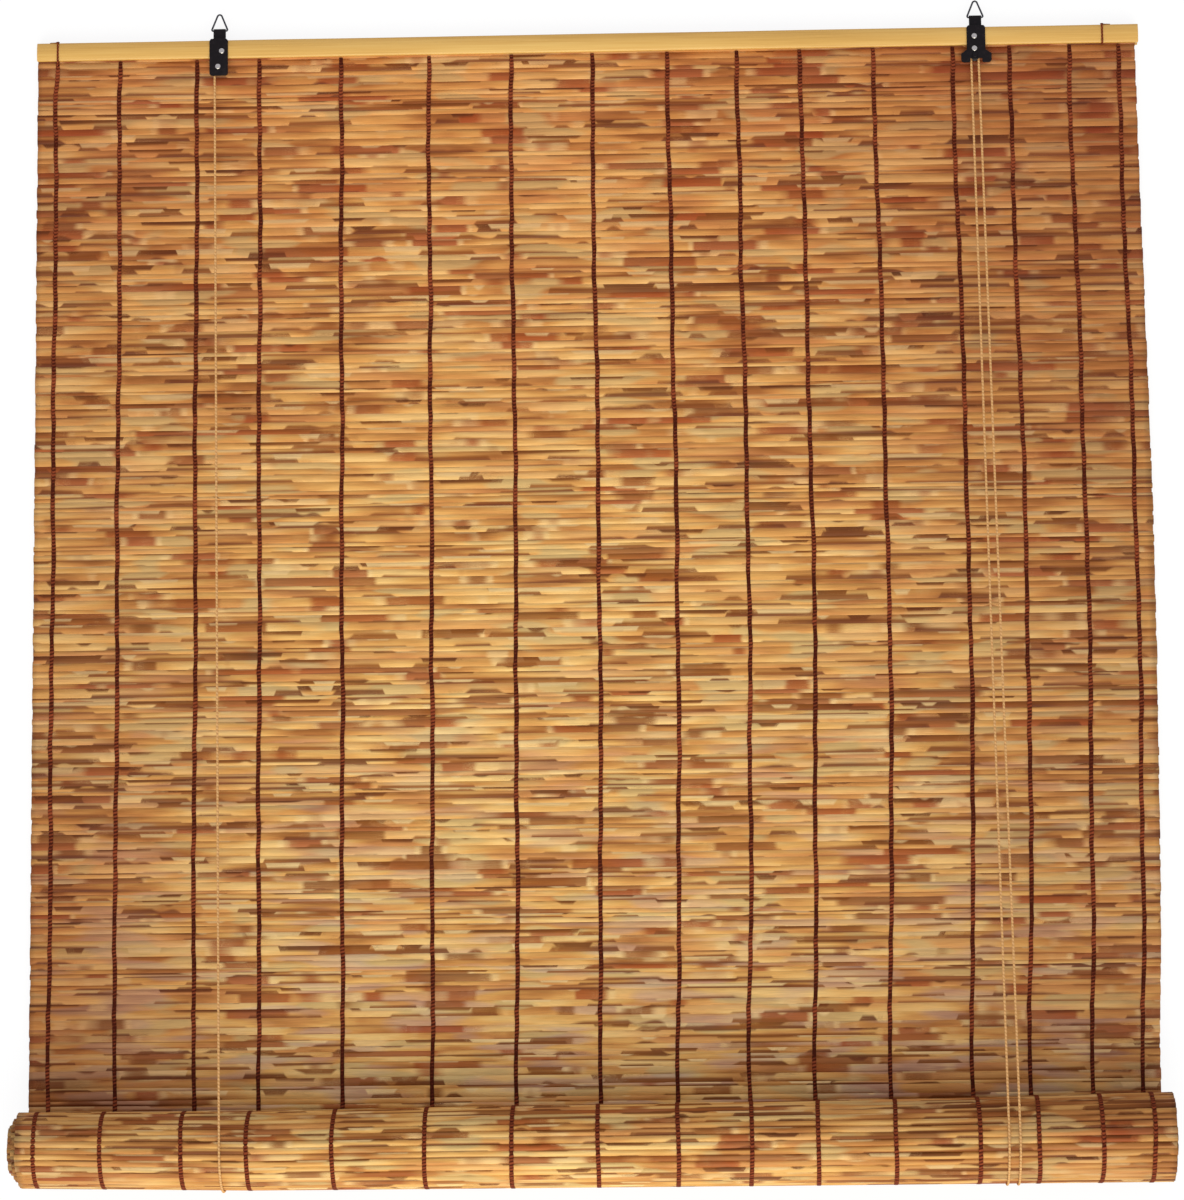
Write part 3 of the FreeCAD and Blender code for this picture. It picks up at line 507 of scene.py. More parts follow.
class BlindSettings(bpy.types.PropertyGroup):
    """Sizes and colours that a user would change."""

    reed_pitch: bpy.props.FloatProperty(
        name="Reed pitch", description="From one reed to the next", default=0.007, unit="LENGTH")
    reed_overlap: bpy.props.FloatProperty(
        name="Reed width", description="Width of a reed in pitches", default=1.5)
    thread_width: bpy.props.FloatProperty(
        name="Thread width", description="Width of a warp thread", default=0.0048, unit="LENGTH")
    cord_diameter: bpy.props.FloatProperty(
        name="Cord diameter", description="Diameter of a lift cord", default=0.0026, unit="LENGTH")
    cord_lay: bpy.props.FloatProperty(
        name="Cord lay", description="Length of one full twist of a lift cord", default=0.009, unit="LENGTH")
    scar_level: bpy.props.FloatProperty(
        name="Scar level", description="Higher leaves fewer brown scars on the reeds", default=0.665)
    shade: colour_property("Shade", "#A86A30", "Darkest plain reed")
    tan: colour_property("Tan", "#CB8E49", "Tan reed")
    pink: colour_property("Pink", "#D8955A", "Pinkish reed")
    honey: colour_property("Honey", "#E0AB5E", "Middle reed")
    straw: colour_property("Straw", "#EEC57C", "Pale reed")
    grey: colour_property("Grey straw", "#D0B274", "Weathered reed")
    # partly painted shade: the cool tint of the roll's shadow on the screen
    lilac: colour_property("Lilac grey", "#B89C90", "Dull reed low on the screen")
    rust: colour_property("Rust", "#A24814", "Reddish leaf scars")
    brown: colour_property("Brown", "#8C4E14", "Brown leaf scars")
    # dark dashes between reeds: partly soil, partly painted shadow in the gaps
    gap_shade_and_soil: colour_property("Soil and gap shade", "#6A3008", "Lines between reeds")
    # also the painted highlight dashes on the reeds' edges towards the head
    cream: colour_property("Cream", "#F0CE8E", "Pale spots beside nodes")
    bamboo: colour_property("Bamboo", "#D4A654", "Slats")
    bamboo_light: colour_property("Light bamboo", "#E0B868", "Light bundles of the slats")
    bamboo_dark: colour_property("Dark bamboo", "#C0903E", "Dark bundles of the slats")


def settings():
    return bpy.context.scene.reed_blind


# Reeds


def model_reed():
    """One stem along X from -1 to 1 with a radius of 1, ringed along its length, with a pith hole in its cut ends."""
    clear_selection()
    bpy.ops.mesh.primitive_cylinder_add(vertices=REED_SIDES, radius=1, depth=2, rotation=(0, math.pi / 2, 0))
    reed = bpy.context.object
    apply_place(reed)
    select(reed, "FACE", lambda middle, normal: abs(normal.x) > 0.9)
    bpy.ops.mesh.inset(thickness=0.35, use_individual=True)
    bpy.ops.transform.shrink_fatten(value=-0.006)
    cut_edges(reed, REED_RINGS, lambda a, b: abs(a.x - b.x) > 1)
    return reed


def stems(count, rng, telescope=None):
    """Count reeds in one mesh. Returns it, its unit places, and each point's place along and its girth."""
    reed = model_reed()
    points = repeated(reed, count)
    # the section is flatter on top than round, as reeds pressed side by side look
    deep = points[:, :, 2:]
    points[:, :, 2:] = np.sign(deep) * np.abs(deep) ** 0.8
    unit_x = points[:, :, 0].copy()
    last = REED_RINGS + 1
    ring = np.rint((unit_x + 1) / 2 * last).astype(int)
    inner = (ring > 0) & (ring < last)
    # the rings of the flat reeds are shifted along, those of the roll stay over each other
    shifts = rng.uniform(-0.12, 0.12, (count, last + 1)) * (telescope is None)
    girths = rng.uniform(0.96, 1.04, (count, last + 1))
    x = unit_x + np.where(inner, np.take_along_axis(shifts, ring, axis=1), 0)
    girth = np.take_along_axis(girths, ring, axis=1)
    # the cut ends stand back by up to 1.2 mm
    length_left = HALF_WIDTH - rng.uniform(0, 1.2 * MM, (count, 1))
    length_right = HALF_WIDTH - rng.uniform(0, 1.2 * MM, (count, 1))
    if telescope is not None:
        length_left = length_left + telescope[:, None]
        length_right = length_right + telescope[:, None] * 0.2
    x = np.where(x < 0, x * length_left, x * length_right)
    return reed, points, x, girth


def finish_stems(reed, points, x, y, z, first, name, body, nodes=()):
    """Places reeds, with coordinates for their material: metres along each reed, and its number from first on."""
    count, size = x.shape
    set_uv(reed, "stem", x + 2.0, np.repeat(np.arange(count) + first + 0.5, size))
    set_attribute(reed, "across", points[:, :, 1])
    set_places(reed, np.stack([x, y, z], axis=2).reshape(-1, 3))
    finished(reed, name, materials["reed"], body, nodes, smooth=50)


class BLIND_OT_flat_reeds(bpy.types.Operator):
    """Reeds of the flat screen, from under the roll to behind the head slat"""

    bl_idname = "blind.flat_reeds"
    bl_label = "Flat reeds"

    def execute(self, context):
        values = settings()
        rng = np.random.default_rng(11)
        edges = reed_rows()
        count = len(edges) - 1
        pitch = np.diff(edges)[:, None]
        reed, points, x, girth = stems(count, rng)
        y = ((edges[:-1] + edges[1:]) / 2)[:, None]
        x = x + bow(x, y)
        low = screen_low(y)
        # beside the roll's foot the reeds are thin enough to stay clear of it
        reach = ROLL_RADIUS + 1.4 * MM
        beside = y - pitch / 2 - AXIS_Y
        under = AXIS_Z - np.sqrt(np.maximum(reach ** 2 - beside ** 2, 0))
        under = np.where(beside < reach, under, 1.0)
        thick = np.minimum(REED_THICKNESS, np.maximum(under - low, 1.2 * MM))
        slim = np.clip(0.90 + 0.06 * pitch / values.reed_pitch + rng.uniform(-0.03, 0.03, (count, 1)), 0.86, 1)
        half_width = pitch / 2 * values.reed_overlap
        bend = wander(rng, x, 0.7, count) * 0.5 * MM
        swell = 1 + wander(rng, x, 0.5, count) * 0.03
        y_new = y + bend + points[:, :, 1] * half_width * girth * swell
        z_new = low + thick / 2 + points[:, :, 2] * thick / 2 * slim * np.minimum(girth * swell, 1 / slim)
        finish_stems(reed, points, x, y_new, z_new, FLAT_FIRST, "flat_reed_stems", "headrail", ("flat_reeds",))
        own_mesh(reed)
        return {"FINISHED"}


def uneven(x):
    """The roll is tighter at its left end and looser at its right one.

    Returns how much thinner it is there, how far up, and how much nearer to the screen.
    """
    at = np.array((-1, -0.6, -0.2, 0.2, 0.6, 1)) * HALF_WIDTH
    thinner = np.interp(x, at, (5.0, 3.2, 1.8, 0.8, 0.0, -2.2)) * MM
    higher = np.interp(x, at, (-0.4, -3.0, -1.8, -0.8, 0.0, 2.2)) * MM
    return thinner, higher, np.maximum(thinner, 0)


def roll_radius_at(turned):
    """Middle of the screen in the roll after so many turns: it steps inward behind the roll."""
    whole = np.floor(turned)
    return ROLL_RADIUS - REED_THICKNESS / 2 - (whole + smooth_step((turned - whole - 0.8) / 0.2)) * TURN_STEP


class BLIND_OT_roll_reeds(bpy.types.Operator):
    """Reeds of the roll, wound from its outer turn to the bottom slat"""

    bl_idname = "blind.roll_reeds"
    bl_label = "Rolled reeds"

    def execute(self, context):
        values = settings()
        rng = np.random.default_rng(23)
        turned = [0.5 / OUTER_TURN_REEDS]
        while roll_radius_at(turned[-1]) > CORE_RADIUS:
            turned.append(turned[-1] + values.reed_pitch / math.tau / roll_radius_at(turned[-1]))
        turned = np.array(turned)
        count = len(turned)
        telescope = np.clip(turned / 2.5, 0, 1) * TELESCOPE
        reed, points, x, girth = stems(count, rng, telescope)
        radius = roll_radius_at(turned)[:, None]
        angle = turned[:, None] * math.tau
        half = REED_THICKNESS / 2
        width = values.reed_pitch / 2 * 1.14 * rng.uniform(0.95, 1.03, (count, 1))
        bend = wander(rng, x, 0.6, count) * 0.8 * MM
        out = radius + points[:, :, 2] * half * np.minimum(rng.uniform(0.9, 1.0, (count, 1)) * girth, 1)
        beside = bend + points[:, :, 1] * width * girth
        thinner, higher, nearer = uneven(x)
        out = out - thinner * radius / ROLL_RADIUS
        y = AXIS_Y + higher - out * np.sin(angle) - beside * np.cos(angle)
        z = AXIS_Z - nearer - out * np.cos(angle) + beside * np.sin(angle)
        finish_stems(reed, points, x, y, z, ROLL_FIRST, "roll_reed_stems", "roll", ("roll_reeds",))
        return {"FINISHED"}


class BLIND_OT_join(bpy.types.Operator):
    """Reeds and threads where the flat screen runs in under the roll"""

    bl_idname = "blind.join"
    bl_label = "Reeds under the roll"

    def execute(self, context):
        rng = np.random.default_rng(53)
        reach = REEDS_FIRST - AXIS_Y
        count = max(1, round(reach / settings().reed_pitch))
        pitch = reach / count
        reed, points, x, girth = stems(count, rng)
        y = AXIS_Y + (np.arange(count)[:, None] + 0.5) * pitch
        x = x + bow(x, y)
        y_new = y + points[:, :, 1] * pitch * 0.6 * girth
        z_new = screen_low(y) + REED_THICKNESS / 2 + points[:, :, 2] * REED_THICKNESS / 2 * 0.95
        finish_stems(reed, points, x, y_new, z_new, JOIN_FIRST, "reeds_under_roll", "slings")
        strand, points = model_strands(count * THREAD_RINGS_PER_REED)
        y = AXIS_Y + (points[:, :, 0] + 1) / 2 * reach
        x = np.array(THREAD_XS)[:, None]
        x = x + bow(x, y) + points[:, :, 1] * settings().thread_width / 2
        z = SCREEN_LOW + REED_THICKNESS + points[:, :, 2] * THREAD_HALF + 0.1 * MM
        finish_strands(strand, points, x, y, z, y, "warp_threads_under_roll", "slings")
        return {"FINISHED"}


# Warp threads


def model_strands(rings):
    """A straight strand of unit size along X for each warp thread, in one mesh, and their places by strand."""
    clear_selection()
    bpy.ops.mesh.primitive_cylinder_add(vertices=THREAD_SIDES, radius=1, depth=2, rotation=(0, math.pi / 2, 0))
    strand = bpy.context.object
    apply_place(strand)
    cut_edges(strand, rings, lambda a, b: abs(a.x - b.x) > 1)
    return strand, repeated(strand, len(THREAD_XS))


def finish_strands(strand, points, x, y, z, along, name, body, nodes=()):
    """Places warp threads, with coordinates for their twist: metres along, and turns round."""
    set_uv(strand, "lay", along, np.arctan2(points[:, :, 2], points[:, :, 1]) / math.tau)
    set_places(strand, np.stack([x, y, z], axis=2).reshape(-1, 3))
    mend_normals(strand)
    finished(strand, name, materials["thread"], body, nodes, smooth=60)


class BLIND_OT_flat_threads(bpy.types.Operator):
    """Warp threads on both faces of the flat screen, pulled into every gap between two reeds"""

    bl_idname = "blind.flat_threads"
    bl_label = "Flat warp threads"

    def execute(self, context):
        values = settings()
        edges = reed_rows()
        knots = np.random.default_rng(29).uniform(-0.1, 0.4, (len(THREAD_XS), len(edges)))
        for name, node, face in (
            ("warp_threads_front", "flat_threads_front", 1),
            ("warp_threads_back", "flat_threads_back", -1),
        ):
            rng = np.random.default_rng(31 + face)
            low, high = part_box(node)
            reeds = round((high.y - low.y) / values.reed_pitch)
            strand, points = model_strands(reeds * THREAD_RINGS_PER_REED)
            y = low.y + (points[:, :, 0] + 1) / 2 * (high.y - low.y)
            row = np.interp(y, edges, np.arange(len(edges)))
            dip = np.abs(np.sin(row * math.pi)) ** 0.6
            height = REED_THICKNESS / 2 - THREAD_SINK * (1 - dip) + THREAD_HALF + 0.02 * MM
            sway = wander(rng, y, 0.35, len(THREAD_XS)) * 0.9 * MM
            sway = sway + np.sin(row * math.pi) * 0.45 * MM
            # the first thread leans in under the head, where it becomes the tie
            sway[0] += smooth_step((y[0] - HEAD_BOTTOM) / 0.05 + 1) * 1.5 * MM
            x = np.array(THREAD_XS)[:, None]
            x = x + bow(x, y) + sway + points[:, :, 1] * values.thread_width / 2 * (0.74 + 0.26 * dip)
            z = screen_low(y) + REED_THICKNESS / 2 + face * height + points[:, :, 2] * THREAD_HALF
            knot = np.take_along_axis(knots, np.rint(row).astype(int), axis=1)
            # the yarn's painted shade where it sinks into the gap between two reeds, plus a random darkness for each
            # reed it crosses
            set_attribute(strand, "dip", (1 - dip) * 0.4 + knot)
            finish_strands(strand, points, x, y, z, y, name, "headrail", (node,))
            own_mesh(strand)
        return {"FINISHED"}


class BLIND_OT_roll_threads(bpy.types.Operator):
    """Warp threads round the roll's outer turn"""

    bl_idname = "blind.roll_threads"
    bl_label = "Rolled warp threads"

    def execute(self, context):
        values = settings()
        rng = np.random.default_rng(47)
        # the outer turn as far as the screen comes in under it
        strand, points = model_strands((OUTER_TURN_REEDS - 2) * THREAD_RINGS_PER_REED)
        turned = (points[:, :, 0] + 1) / 2 * 0.96
        dip = np.abs(np.sin(turned * OUTER_TURN_REEDS * math.pi)) ** 0.6
        surface = roll_radius_at(turned) + REED_THICKNESS / 2 + 0.02 * MM
        out = surface - THREAD_SINK * (1 - dip) + (points[:, :, 2] + 1) * THREAD_HALF
        # metres round the outer turn
        along = turned * 0.28
        sway = wander(rng, along, 0.2, len(THREAD_XS)) * 0.8 * MM
        width = values.thread_width / 2 * (0.78 + 0.22 * dip)
        x = np.array(THREAD_XS)[:, None] - 4 * MM + sway + points[:, :, 1] * width
        angle = turned * math.tau
        thinner, higher, nearer = uneven(x)
        out = out - thinner
        y = AXIS_Y + higher - out * np.sin(angle)
        z = AXIS_Z - nearer - out * np.cos(angle)
        # painted shade where the yarn sinks between two reeds
        set_attribute(strand, "dip", (1 - dip) * 0.5)
        finish_strands(strand, points, x, y, z, along, "warp_threads_roll", "roll", ("roll_threads",))
        return {"FINISHED"}


# Cords


def twisted_cord(length, lay, radius, steps):
    """A straight three-ply cord along Z from 0, twisted once in every lay."""
    clear_selection()
    bpy.ops.mesh.primitive_circle_add(vertices=9, radius=radius)
    cord = bpy.context.object
    # three plies: every third point lies in the valley between two of them
    points = places(cord)
    points[::3] *= 0.72
    set_places(cord, points)
    twist = cord.modifiers.new("twist", "SCREW")
    twist.axis = "Z"
    twist.angle = math.tau * length / lay
    twist.screw_offset = length
    twist.steps = steps
    twist.render_steps = steps
    twist.use_merge_vertices = False
    apply_modifiers(cord)
    make_active(cord)
    to_mode("EDIT")
    bpy.ops.mesh.select_mode(type="EDGE")
    bpy.ops.mesh.select_all(action="DESELECT")
    bpy.ops.mesh.select_non_manifold()
    bpy.ops.mesh.edge_face_add()
    mend_normals(cord)
    return cord


def cord_along(path, lay, radius, steps):
    """A twisted cord that follows a path of points."""
    path = np.array([tuple(point) for point in path], float)
    runs = np.linalg.norm(np.diff(path, axis=0), axis=1)
    reached = np.concatenate([[0], np.cumsum(runs)])
    cord = twisted_cord(reached[-1], lay, radius, steps)
    points = places(cord)
    along = np.clip(points[:, 2], 0, reached[-1])

    def on_path(ahead):
        return np.stack([np.interp(along + ahead, reached, path[:, i]) for i in range(3)], axis=1)

    way = on_path(1 * MM) - on_path(-1 * MM)
    way /= np.linalg.norm(way, axis=1)[:, None]
    normal = np.linalg.svd(path - path.mean(0))[2][2] if len(path) > 2 else np.array([1.0, 0.0, 0.0])
    normal = normal - way * (way @ normal)[:, None]
    normal /= np.linalg.norm(normal, axis=1)[:, None]
    other = np.cross(way, normal)
    set_places(cord, on_path(0) + normal * points[:, :1] + other * points[:, 1:2])
    set_uv(cord, "lay", along, np.arctan2(points[:, 1], points[:, 0]) / math.tau)
    mend_normals(cord)
    return cord


def node_run(node):
    """The two ends of a straight cord's CAD node: the middles of its end faces."""
    points = places(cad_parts[node])
    y = points[:, 1]
    ends = points[y < y.min() + 3 * MM], points[y > y.max() - 3 * MM]
    return [Vector((end.min(0) + end.max(0)) / 2) for end in ends]


def bight_path(node, parts=14):
    """The path of a cord round its axle, from the CAD node's box."""
    low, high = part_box(node)
    thick = high.z - low.z
    outer = (high.x - low.x) / 2
    radius = outer - thick / 2
    centre = Vector(((low.x + high.x) / 2, high.y - outer, (low.z + high.z) / 2))
    tail = centre.y - low.y
    path = [centre + Vector((radius, -tail, 0))] if tail > 1 * MM else []
    for part in range(parts + 1):
        angle = math.pi * part / parts
        path.append(centre + Vector((radius * math.cos(angle), radius * math.sin(angle), 0)))
    return path


class BLIND_OT_cords(bpy.types.Operator):
    """Lift cords: front and back runs, slings round the roll, and the turns round the axles"""

    bl_idname = "blind.cords"
    bl_label = "Lift cords"

    def execute(self, context):
        values = settings()
        lay = values.cord_lay
        radius = values.cord_diameter / 2
        for leg in LEGS:
            path = self.sling_path(f"cord_sling_{leg}", radius)
            self.finish(cord_along(path, lay, radius, 160), f"sling_{leg}", f"cord_sling_{leg}", "slings")
            for face in ("front", "back"):
                node = f"cord_{face}_{leg}"
                low, high = node_run(node)
                if face == "front":
                    low = Vector(path[0])
                # eight steps for each twist, as far as the triangles allow
                steps = min(round((high - low).length / lay * 8), 1100)
                cord = cord_along([low, high], lay, radius, steps)
                self.finish(cord, f"{face}_{leg}", node, "headrail")
                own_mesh(cord)
        for side in SIDES:
            for face in ("front", "back"):
                node = f"cord_bight_{face}_{side}"
                self.finish(cord_along(bight_path(node), lay, radius, 40), f"turn_{face}_{side}", node, "headrail")
        return {"FINISHED"}

    def finish(self, cord, name, node, body):
        finished(cord, "lift_cord_" + name, materials["cord"], body, (node,), smooth=60)

    def sling_path(self, node, radius, parts=48):
        """From where a front run meets the roll, round below it, to where the back run starts."""
        low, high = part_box(node)
        x = (low.x + high.x) / 2
        _, higher, nearer = uneven(x)
        sling = AXIS_Z - radius - nearer
        lean = math.asin(min(1, (high.y - AXIS_Y) / AXIS_Z))
        path = []
        for part in range(parts + 1):
            angle = lean - (math.pi + lean) * part / parts
            path.append((x, AXIS_Y + higher + sling * math.sin(angle), AXIS_Z - nearer + sling * math.cos(angle)))
        return path


# Head


def eased_copy(node, width):
    """A copy of a CAD node with its loose triangles merged and its sharp edges eased."""
    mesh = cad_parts[node].data.copy()
    obj = new_object(node + "_eased", mesh)
    for attribute in [a.name for a in mesh.attributes if a.name.startswith(("custom_normal", "sharp"))]:
        mesh.attributes.remove(mesh.attributes[attribute])
    make_active(obj)
    to_mode("EDIT")
    bpy.ops.mesh.select_all(action="SELECT")
    bpy.ops.mesh.remove_doubles(threshold=1e-6)
    bpy.ops.mesh.dissolve_limited(angle_limit=math.radians(1))
    mend_normals(obj)
    ease_edges(obj, width, 40)
    return obj


class BLIND_OT_slats(bpy.types.Operator):
    """Bamboo slats of the head and of the roll's core"""

    bl_idname = "blind.slats"
    bl_label = "Bamboo slats"

    def execute(self, context):
        for node, body in (("front_slat", "headrail"), ("back_slat", "headrail"), ("bottom_slat", "roll")):
            rng = np.random.default_rng(5)
            low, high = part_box(node)
            clear_selection()
            middle = (low + high) / 2
            bpy.ops.mesh.primitive_cube_add(size=1, location=middle)
            slat = bpy.context.object
            slat.scale = high - low
            apply_place(slat)
            cut_edges(slat, 60, lambda a, b: abs(a.x - b.x) > 0.1)
            cut_edges(slat, 9, lambda a, b: abs(a.y - b.y) > 5 * MM)
            points = places(slat)
            across = (points[:, 1] - middle.y) / (high.y - low.y) * 2
            if node != "back_slat":
                # the bamboo's own curve, 1.8 mm deep, stays on the face
                top = points[:, 2] > middle.z
                points[:, 2] -= np.where(top, across ** 2 * 1.8 * MM, 0)
            # the long edges are planed by eye
            ease = 1 - 0.012 * (np.abs(across) > 0.99) * (1 + wander(rng, points[:, 0][None, :], 0.4, 1)[0])
            points[:, 1] = middle.y + (points[:, 1] - middle.y) * ease
            set_places(slat, points)
            ease_edges(slat, 0.6 * MM, 50)
            finished(slat, node + "_bamboo", materials["bamboo"], body, (node,), smooth=35)
        return {"FINISHED"}


class BLIND_OT_ties(bpy.types.Operator):
    """Thread tied round the head near each end, with its knot"""

    bl_idname = "blind.ties"
    bl_label = "Head ties"

    def execute(self, context):
        radius = 0.55 * MM
        lay = 3 * MM
        for side in SIDES:
            node = f"rail_tie_{side}"
            low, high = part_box(node)
            x = (low.x + high.x) / 2
            turn = self.turn(low, high)
            pieces = []
            for shift in (-radius, radius):
                path = [(x + shift, y, z) for y, z in turn]
                pieces.append(cord_along(path + path[:1], lay, radius, 200))
            clear_selection()
            bpy.ops.mesh.primitive_ico_sphere_add(
                subdivisions=3, radius=1.3 * MM, location=(x, high.y - 0.2 * MM, high.z - 1.6 * MM))
            knot = bpy.context.object
            knot.scale = (1.5, 0.7, 0.8)
            apply_place(knot)
            pieces.append(knot)
            reach = 1 if side == "right" else -1
            tail = [(x + reach * out * MM, high.y - down * MM, high.z - back * MM)
                    for out, down, back in ((0, 0.3, 2), (4, 0.3, 3), (9, 0.4, 3.4))]
            pieces.append(cord_along(tail, lay, radius, 40))
            if side == "left":
                # the left tie is the end of the first warp thread
                down = [(x, low.y + 1 * MM, high.z - 0.2 * MM), (x - 0.4 * MM, low.y - 1 * MM, high.z - 2 * MM),
                        (THREAD_XS[0], low.y - 5 * MM, REEDS_HIGH.z + 0.2 * MM)]
                pieces.append(cord_along(down, lay, radius * 1.6, 40))
            knot.data.uv_layers.remove(knot.data.uv_layers[0])
            finished(joined(pieces), f"head_tie_{side}", materials["thread"], "headrail",
                     (node,), smooth=60)
        return {"FINISHED"}

    def turn(self, low, high):
        """One turn round the head in Y and Z, with round corners."""
        bend = 1.2 * MM
        radius = bend - 0.3 * MM
        path = []
        for start, (y, z) in enumerate(((high.y, high.z), (high.y, low.z), (low.y, low.z), (low.y, high.z))):
            centre_y = y - math.copysign(bend, y - (low.y + high.y) / 2)
            centre_z = z - math.copysign(bend, z - (low.z + high.z) / 2)
            for part in range(5):
                angle = math.pi / 2 * (1 - start - part / 4)
                path.append((centre_y + radius * math.cos(angle), centre_z + radius * math.sin(angle)))
        return path


class BLIND_OT_hangers(bpy.types.Operator):
    """Folded steel hangers, their pulleys, rivets and wire rings"""

    bl_idname = "blind.hangers"
    bl_label = "Hangers"

    def execute(self, context):
        for side in SIDES:
            strap = eased_copy(f"hanger_{side}", 0.22 * MM)
            finished(strap, f"hanger_strap_{side}", materials["enamel"], "headrail",
                     (f"hanger_{side}",), smooth=45)
            wheel = eased_copy(f"pulley_{side}", 0.12 * MM)
            finished(wheel, f"grooved_wheel_{side}", materials["nylon"], f"{side}_pulley",
                     (f"pulley_{side}",), smooth=30)
            self.ring(side)
        for node in ("rivet_left_1", "rivet_right_1", "rivet_right_2", "axle_left"):
            self.rivet(node, "nickel", "rivet_steel")
        self.rivet("axle_right", "enamel", "hanger_steel")
        return {"FINISHED"}

    def rivet(self, node, material, slot):
        """A shank with a domed head."""
        low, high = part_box(node)
        x, y = (low.x + high.x) / 2, (low.y + high.y) / 2
        head_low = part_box("hanger_left")[1].z
        clear_selection()
        bpy.ops.mesh.primitive_cylinder_add(
            vertices=32, radius=(high.x - low.x) / 2, depth=high.z - head_low,
            location=(x, y, (high.z + head_low) / 2))
        head = bpy.context.object
        apply_place(head)
        select(head, "EDGE", lambda a, b: min(a.z, b.z) > high.z - 0.01 * MM)
        bpy.ops.mesh.bevel(offset=1.25 * MM, segments=6, profile=0.55)
        to_mode("OBJECT")
        bpy.ops.mesh.primitive_cylinder_add(
            vertices=24, radius=1.5 * MM, depth=head_low - low.z + 0.2 * MM,
            location=(x, y, (head_low + low.z) / 2 + 0.1 * MM))
        shank = bpy.context.object
        apply_place(shank)
        finished(joined([head, shank]), node + "_head", materials[material], "headrail", (node,), smooth=40)

    def ring(self, side):
        """A triangle bent from round wire, its straight side in the strap's fold."""
        node = f"ring_{side}"
        low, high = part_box(node)
        wire = 1.0 * MM
        x = (low.x + high.x) / 2
        z = (low.z + high.z) / 2
        # the triangle of the wire's middle line, and how its corners are bent
        half = 9.1 * MM
        rise = 22.4 * MM
        bends = (1.4 * MM, 2.6 * MM, 1.4 * MM)
        base = low.y + wire
        corners = [Vector((-half, base)), Vector((0, base + rise)), Vector((half, base))]
        path = []
        for index, (corner, bend) in enumerate(zip(corners, bends)):
            before = (corners[index - 1] - corner).normalized()
            after = (corners[(index + 1) % 3] - corner).normalized()
            half_angle = before.angle(after) / 2
            centre = corner + (before + after).normalized() * (bend / math.sin(half_angle))
            start = corner + before * (bend / math.tan(half_angle)) - centre
            sweep = math.pi - 2 * half_angle
            for part in range(9):
                turn = Matrix.Rotation(-sweep * part / 8, 2)
                path.append(centre + turn @ start)
        curve = bpy.data.curves.new(node, "CURVE")
        curve.dimensions = "3D"
        curve.bevel_depth = wire
        curve.bevel_resolution = 3
        spline = curve.splines.new("POLY")
        spline.points.add(len(path) - 1)
        for point, (px, py) in zip(spline.points, path):
            point.co = (x + px, py, z, 1)
        spline.use_cyclic_u = True
        ring = new_object(node + "_wire", curve)
        make_active(ring)
        bpy.ops.object.convert(target="MESH")
        mend_normals(ring)
        finished(ring, f"wire_ring_{side}", materials["wire"], f"{side}_ring", (node,), smooth=60)


# Stage


class BLIND_OT_stage(bpy.types.Operator):
    """Pale floor, soft light and the camera"""

    bl_idname = "blind.stage"
    bl_label = "Stage"

    def execute(self, context):
        clear_selection()
        bpy.ops.mesh.primitive_plane_add(size=60, location=(0, 0, -0.0005))
        floor = bpy.context.object
        floor.name = "stage_floor"
        material, tree = new_material("white_floor")
        # the floor shows white to the camera and in gloss, and keeps a faint shadow
        path = add(tree, "ShaderNodeLightPath")
        seen = maths(tree, "MAXIMUM", path.outputs["Is Camera Ray"], path.outputs["Is Glossy Ray"])
        paint = add(tree, "ShaderNodeBsdfDiffuse", inputs={"Color": linear("#EDEDED")})
        glow = add(tree, "ShaderNodeEmission", inputs={"Color": (1, 1, 1, 1), "Strength": 1.06})
        both = add(tree, "ShaderNodeMixShader", inputs={
            0: maths(tree, "MULTIPLY", seen, 0.82), 1: paint.outputs[0], 2: glow.outputs[0]})
        add(tree, "ShaderNodeOutputMaterial", inputs={0: both.outputs[0]})
        floor.data.materials.append(material)

        # a soft sky for light, white where the camera sees past the floor
        world = bpy.data.worlds.new("soft_sky")
        context.scene.world = world
        world.use_nodes = True
        tree = world.node_tree
        tree.nodes.clear()
        sky = add(tree, "ShaderNodeBackground", inputs={"Color": (0.98, 0.97, 1.05, 1), "Strength": 0.66})
        white = add(tree, "ShaderNodeBackground", inputs={"Color": (1, 1, 1, 1), "Strength": 1.0})
        path = add(tree, "ShaderNodeLightPath")
        both = add(tree, "ShaderNodeMixShader", inputs={
            0: path.outputs["Is Camera Ray"], 1: sky.outputs[0], 2: white.outputs[0]})
        add(tree, "ShaderNodeOutputWorld", inputs={0: both.outputs[0]})

        lamp = bpy.data.lights.new("window_light", "SUN")
        lamp.energy = 2.32
        lamp.angle = math.radians(55)
        lamp.color = (1.0, 0.975, 0.81)
        sun = new_object("window_light", lamp)
        sun.rotation_euler = (math.radians(57), math.radians(6), 0)
        sun.location = (0, -2, 3)

        # the photo's own viewpoint, fitted to the threads, the head and the roll
        lens = bpy.data.cameras.new("front_camera")
        lens.sensor_fit = "HORIZONTAL"
        lens.sensor_width = 36
        lens.lens = 123.7
        lens.clip_end = 50
        camera = new_object("front_camera", lens)
        turn = (Matrix.Rotation(math.radians(1.75), 4, "Y") @ Matrix.Rotation(math.radians(7.89), 4, "X")
                @ Matrix.Rotation(math.radians(-0.55), 4, "Z"))
        camera.matrix_world = Matrix.Translation((0.133, HEAD_TOP - 1.220, 4.320)) @ turn
        context.scene.camera = camera
        context.scene.view_settings.view_transform = "Standard"
        return {"FINISHED"}


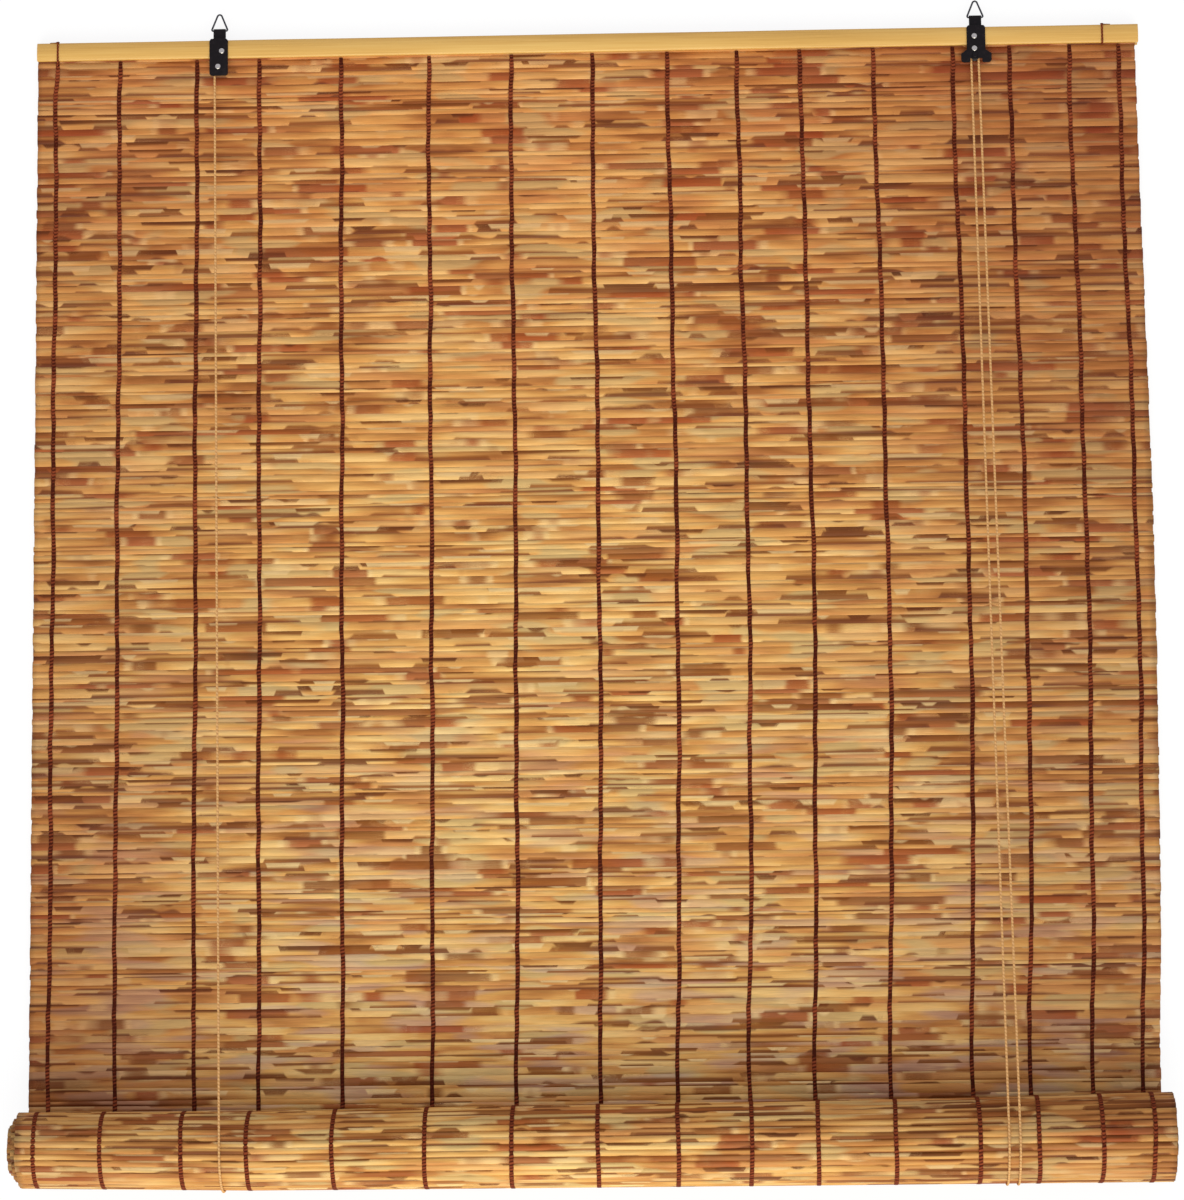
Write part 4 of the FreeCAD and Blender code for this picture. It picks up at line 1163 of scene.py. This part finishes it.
class BLIND_PT_sidebar(bpy.types.Panel):
    """Lists the pieces of the blind"""

    bl_label = "Reed blind"
    bl_idname = "BLIND_PT_sidebar"
    bl_space_type = "VIEW_3D"
    bl_region_type = "UI"
    bl_category = "Reed blind"

    def draw(self, context):
        for name in BlindSettings.__annotations__:
            self.layout.prop(settings(), name)
        for operator in OPERATORS:
            self.layout.operator(operator.bl_idname)


OPERATORS = (
    BLIND_OT_flat_reeds,
    BLIND_OT_roll_reeds,
    BLIND_OT_join,
    BLIND_OT_flat_threads,
    BLIND_OT_roll_threads,
    BLIND_OT_cords,
    BLIND_OT_slats,
    BLIND_OT_ties,
    BLIND_OT_hangers,
    BLIND_OT_stage,
)
CLASSES = (BlindSettings,) + OPERATORS + (BLIND_PT_sidebar,)
materials = {}


def register():
    for item in CLASSES:
        bpy.utils.register_class(item)
    bpy.types.Scene.reed_blind = bpy.props.PointerProperty(type=BlindSettings)


def unregister():
    del bpy.types.Scene.reed_blind
    for item in reversed(CLASSES):
        bpy.utils.unregister_class(item)


def make_materials():
    values = settings()
    # reed, cut, dried and left unpeeled: satin straw skin, browned where the leaf sheaths sat
    materials["reed"] = reed_material(values)
    # polyester, twisted from plies: matt and dark maroon, with a painted highlight on each ply at a slant and painted
    # shade where it dips between reeds
    materials["thread"] = twisted_material("polyester_thread", "#96482A", "#44180C", 3 * MM, 0.8, 0.06)
    # cotton, twisted from three plies: soft, matt and cream, with a painted highlight on each ply
    materials["cord"] = twisted_material("cotton_lift_cord", "#E2B47A", "#C08A50", 3 * MM, 0.8, 0.2)
    # bamboo, split, planed and clear-coated: golden with straight fibres
    materials["bamboo"] = bamboo_material(values)
    # steel strap, stamped, folded and enamelled: black with a satin sheen
    materials["enamel"] = worn_material("black_enamelled_steel", "#0F0A0D", 0.0, 0.4, "#1E171A", 260.0, 0.18)
    # steel wire, drawn, bent and darkened: grey with a soft metal shine
    materials["wire"] = worn_material("darkened_steel_wire", "#4C4D52", 1.0, 0.38, "#2E2D30", 400.0)
    # rivet heads, pressed and nickel-plated: the only bright spots
    materials["nickel"] = worn_material("nickel_plated_rivet", "#CFCBC6", 1.0, 0.22, "#A8A29A", 500.0)
    # nylon, moulded: black and dull
    materials["nylon"] = worn_material("moulded_nylon", "#1B1A1B", 0.0, 0.5, "#262525", 300.0)


def main():
    register()
    make_materials()
    for operator in OPERATORS:
        group, name = operator.bl_idname.split(".")
        getattr(getattr(bpy.ops, group), name)()


if __name__ == "__main__":
    main()
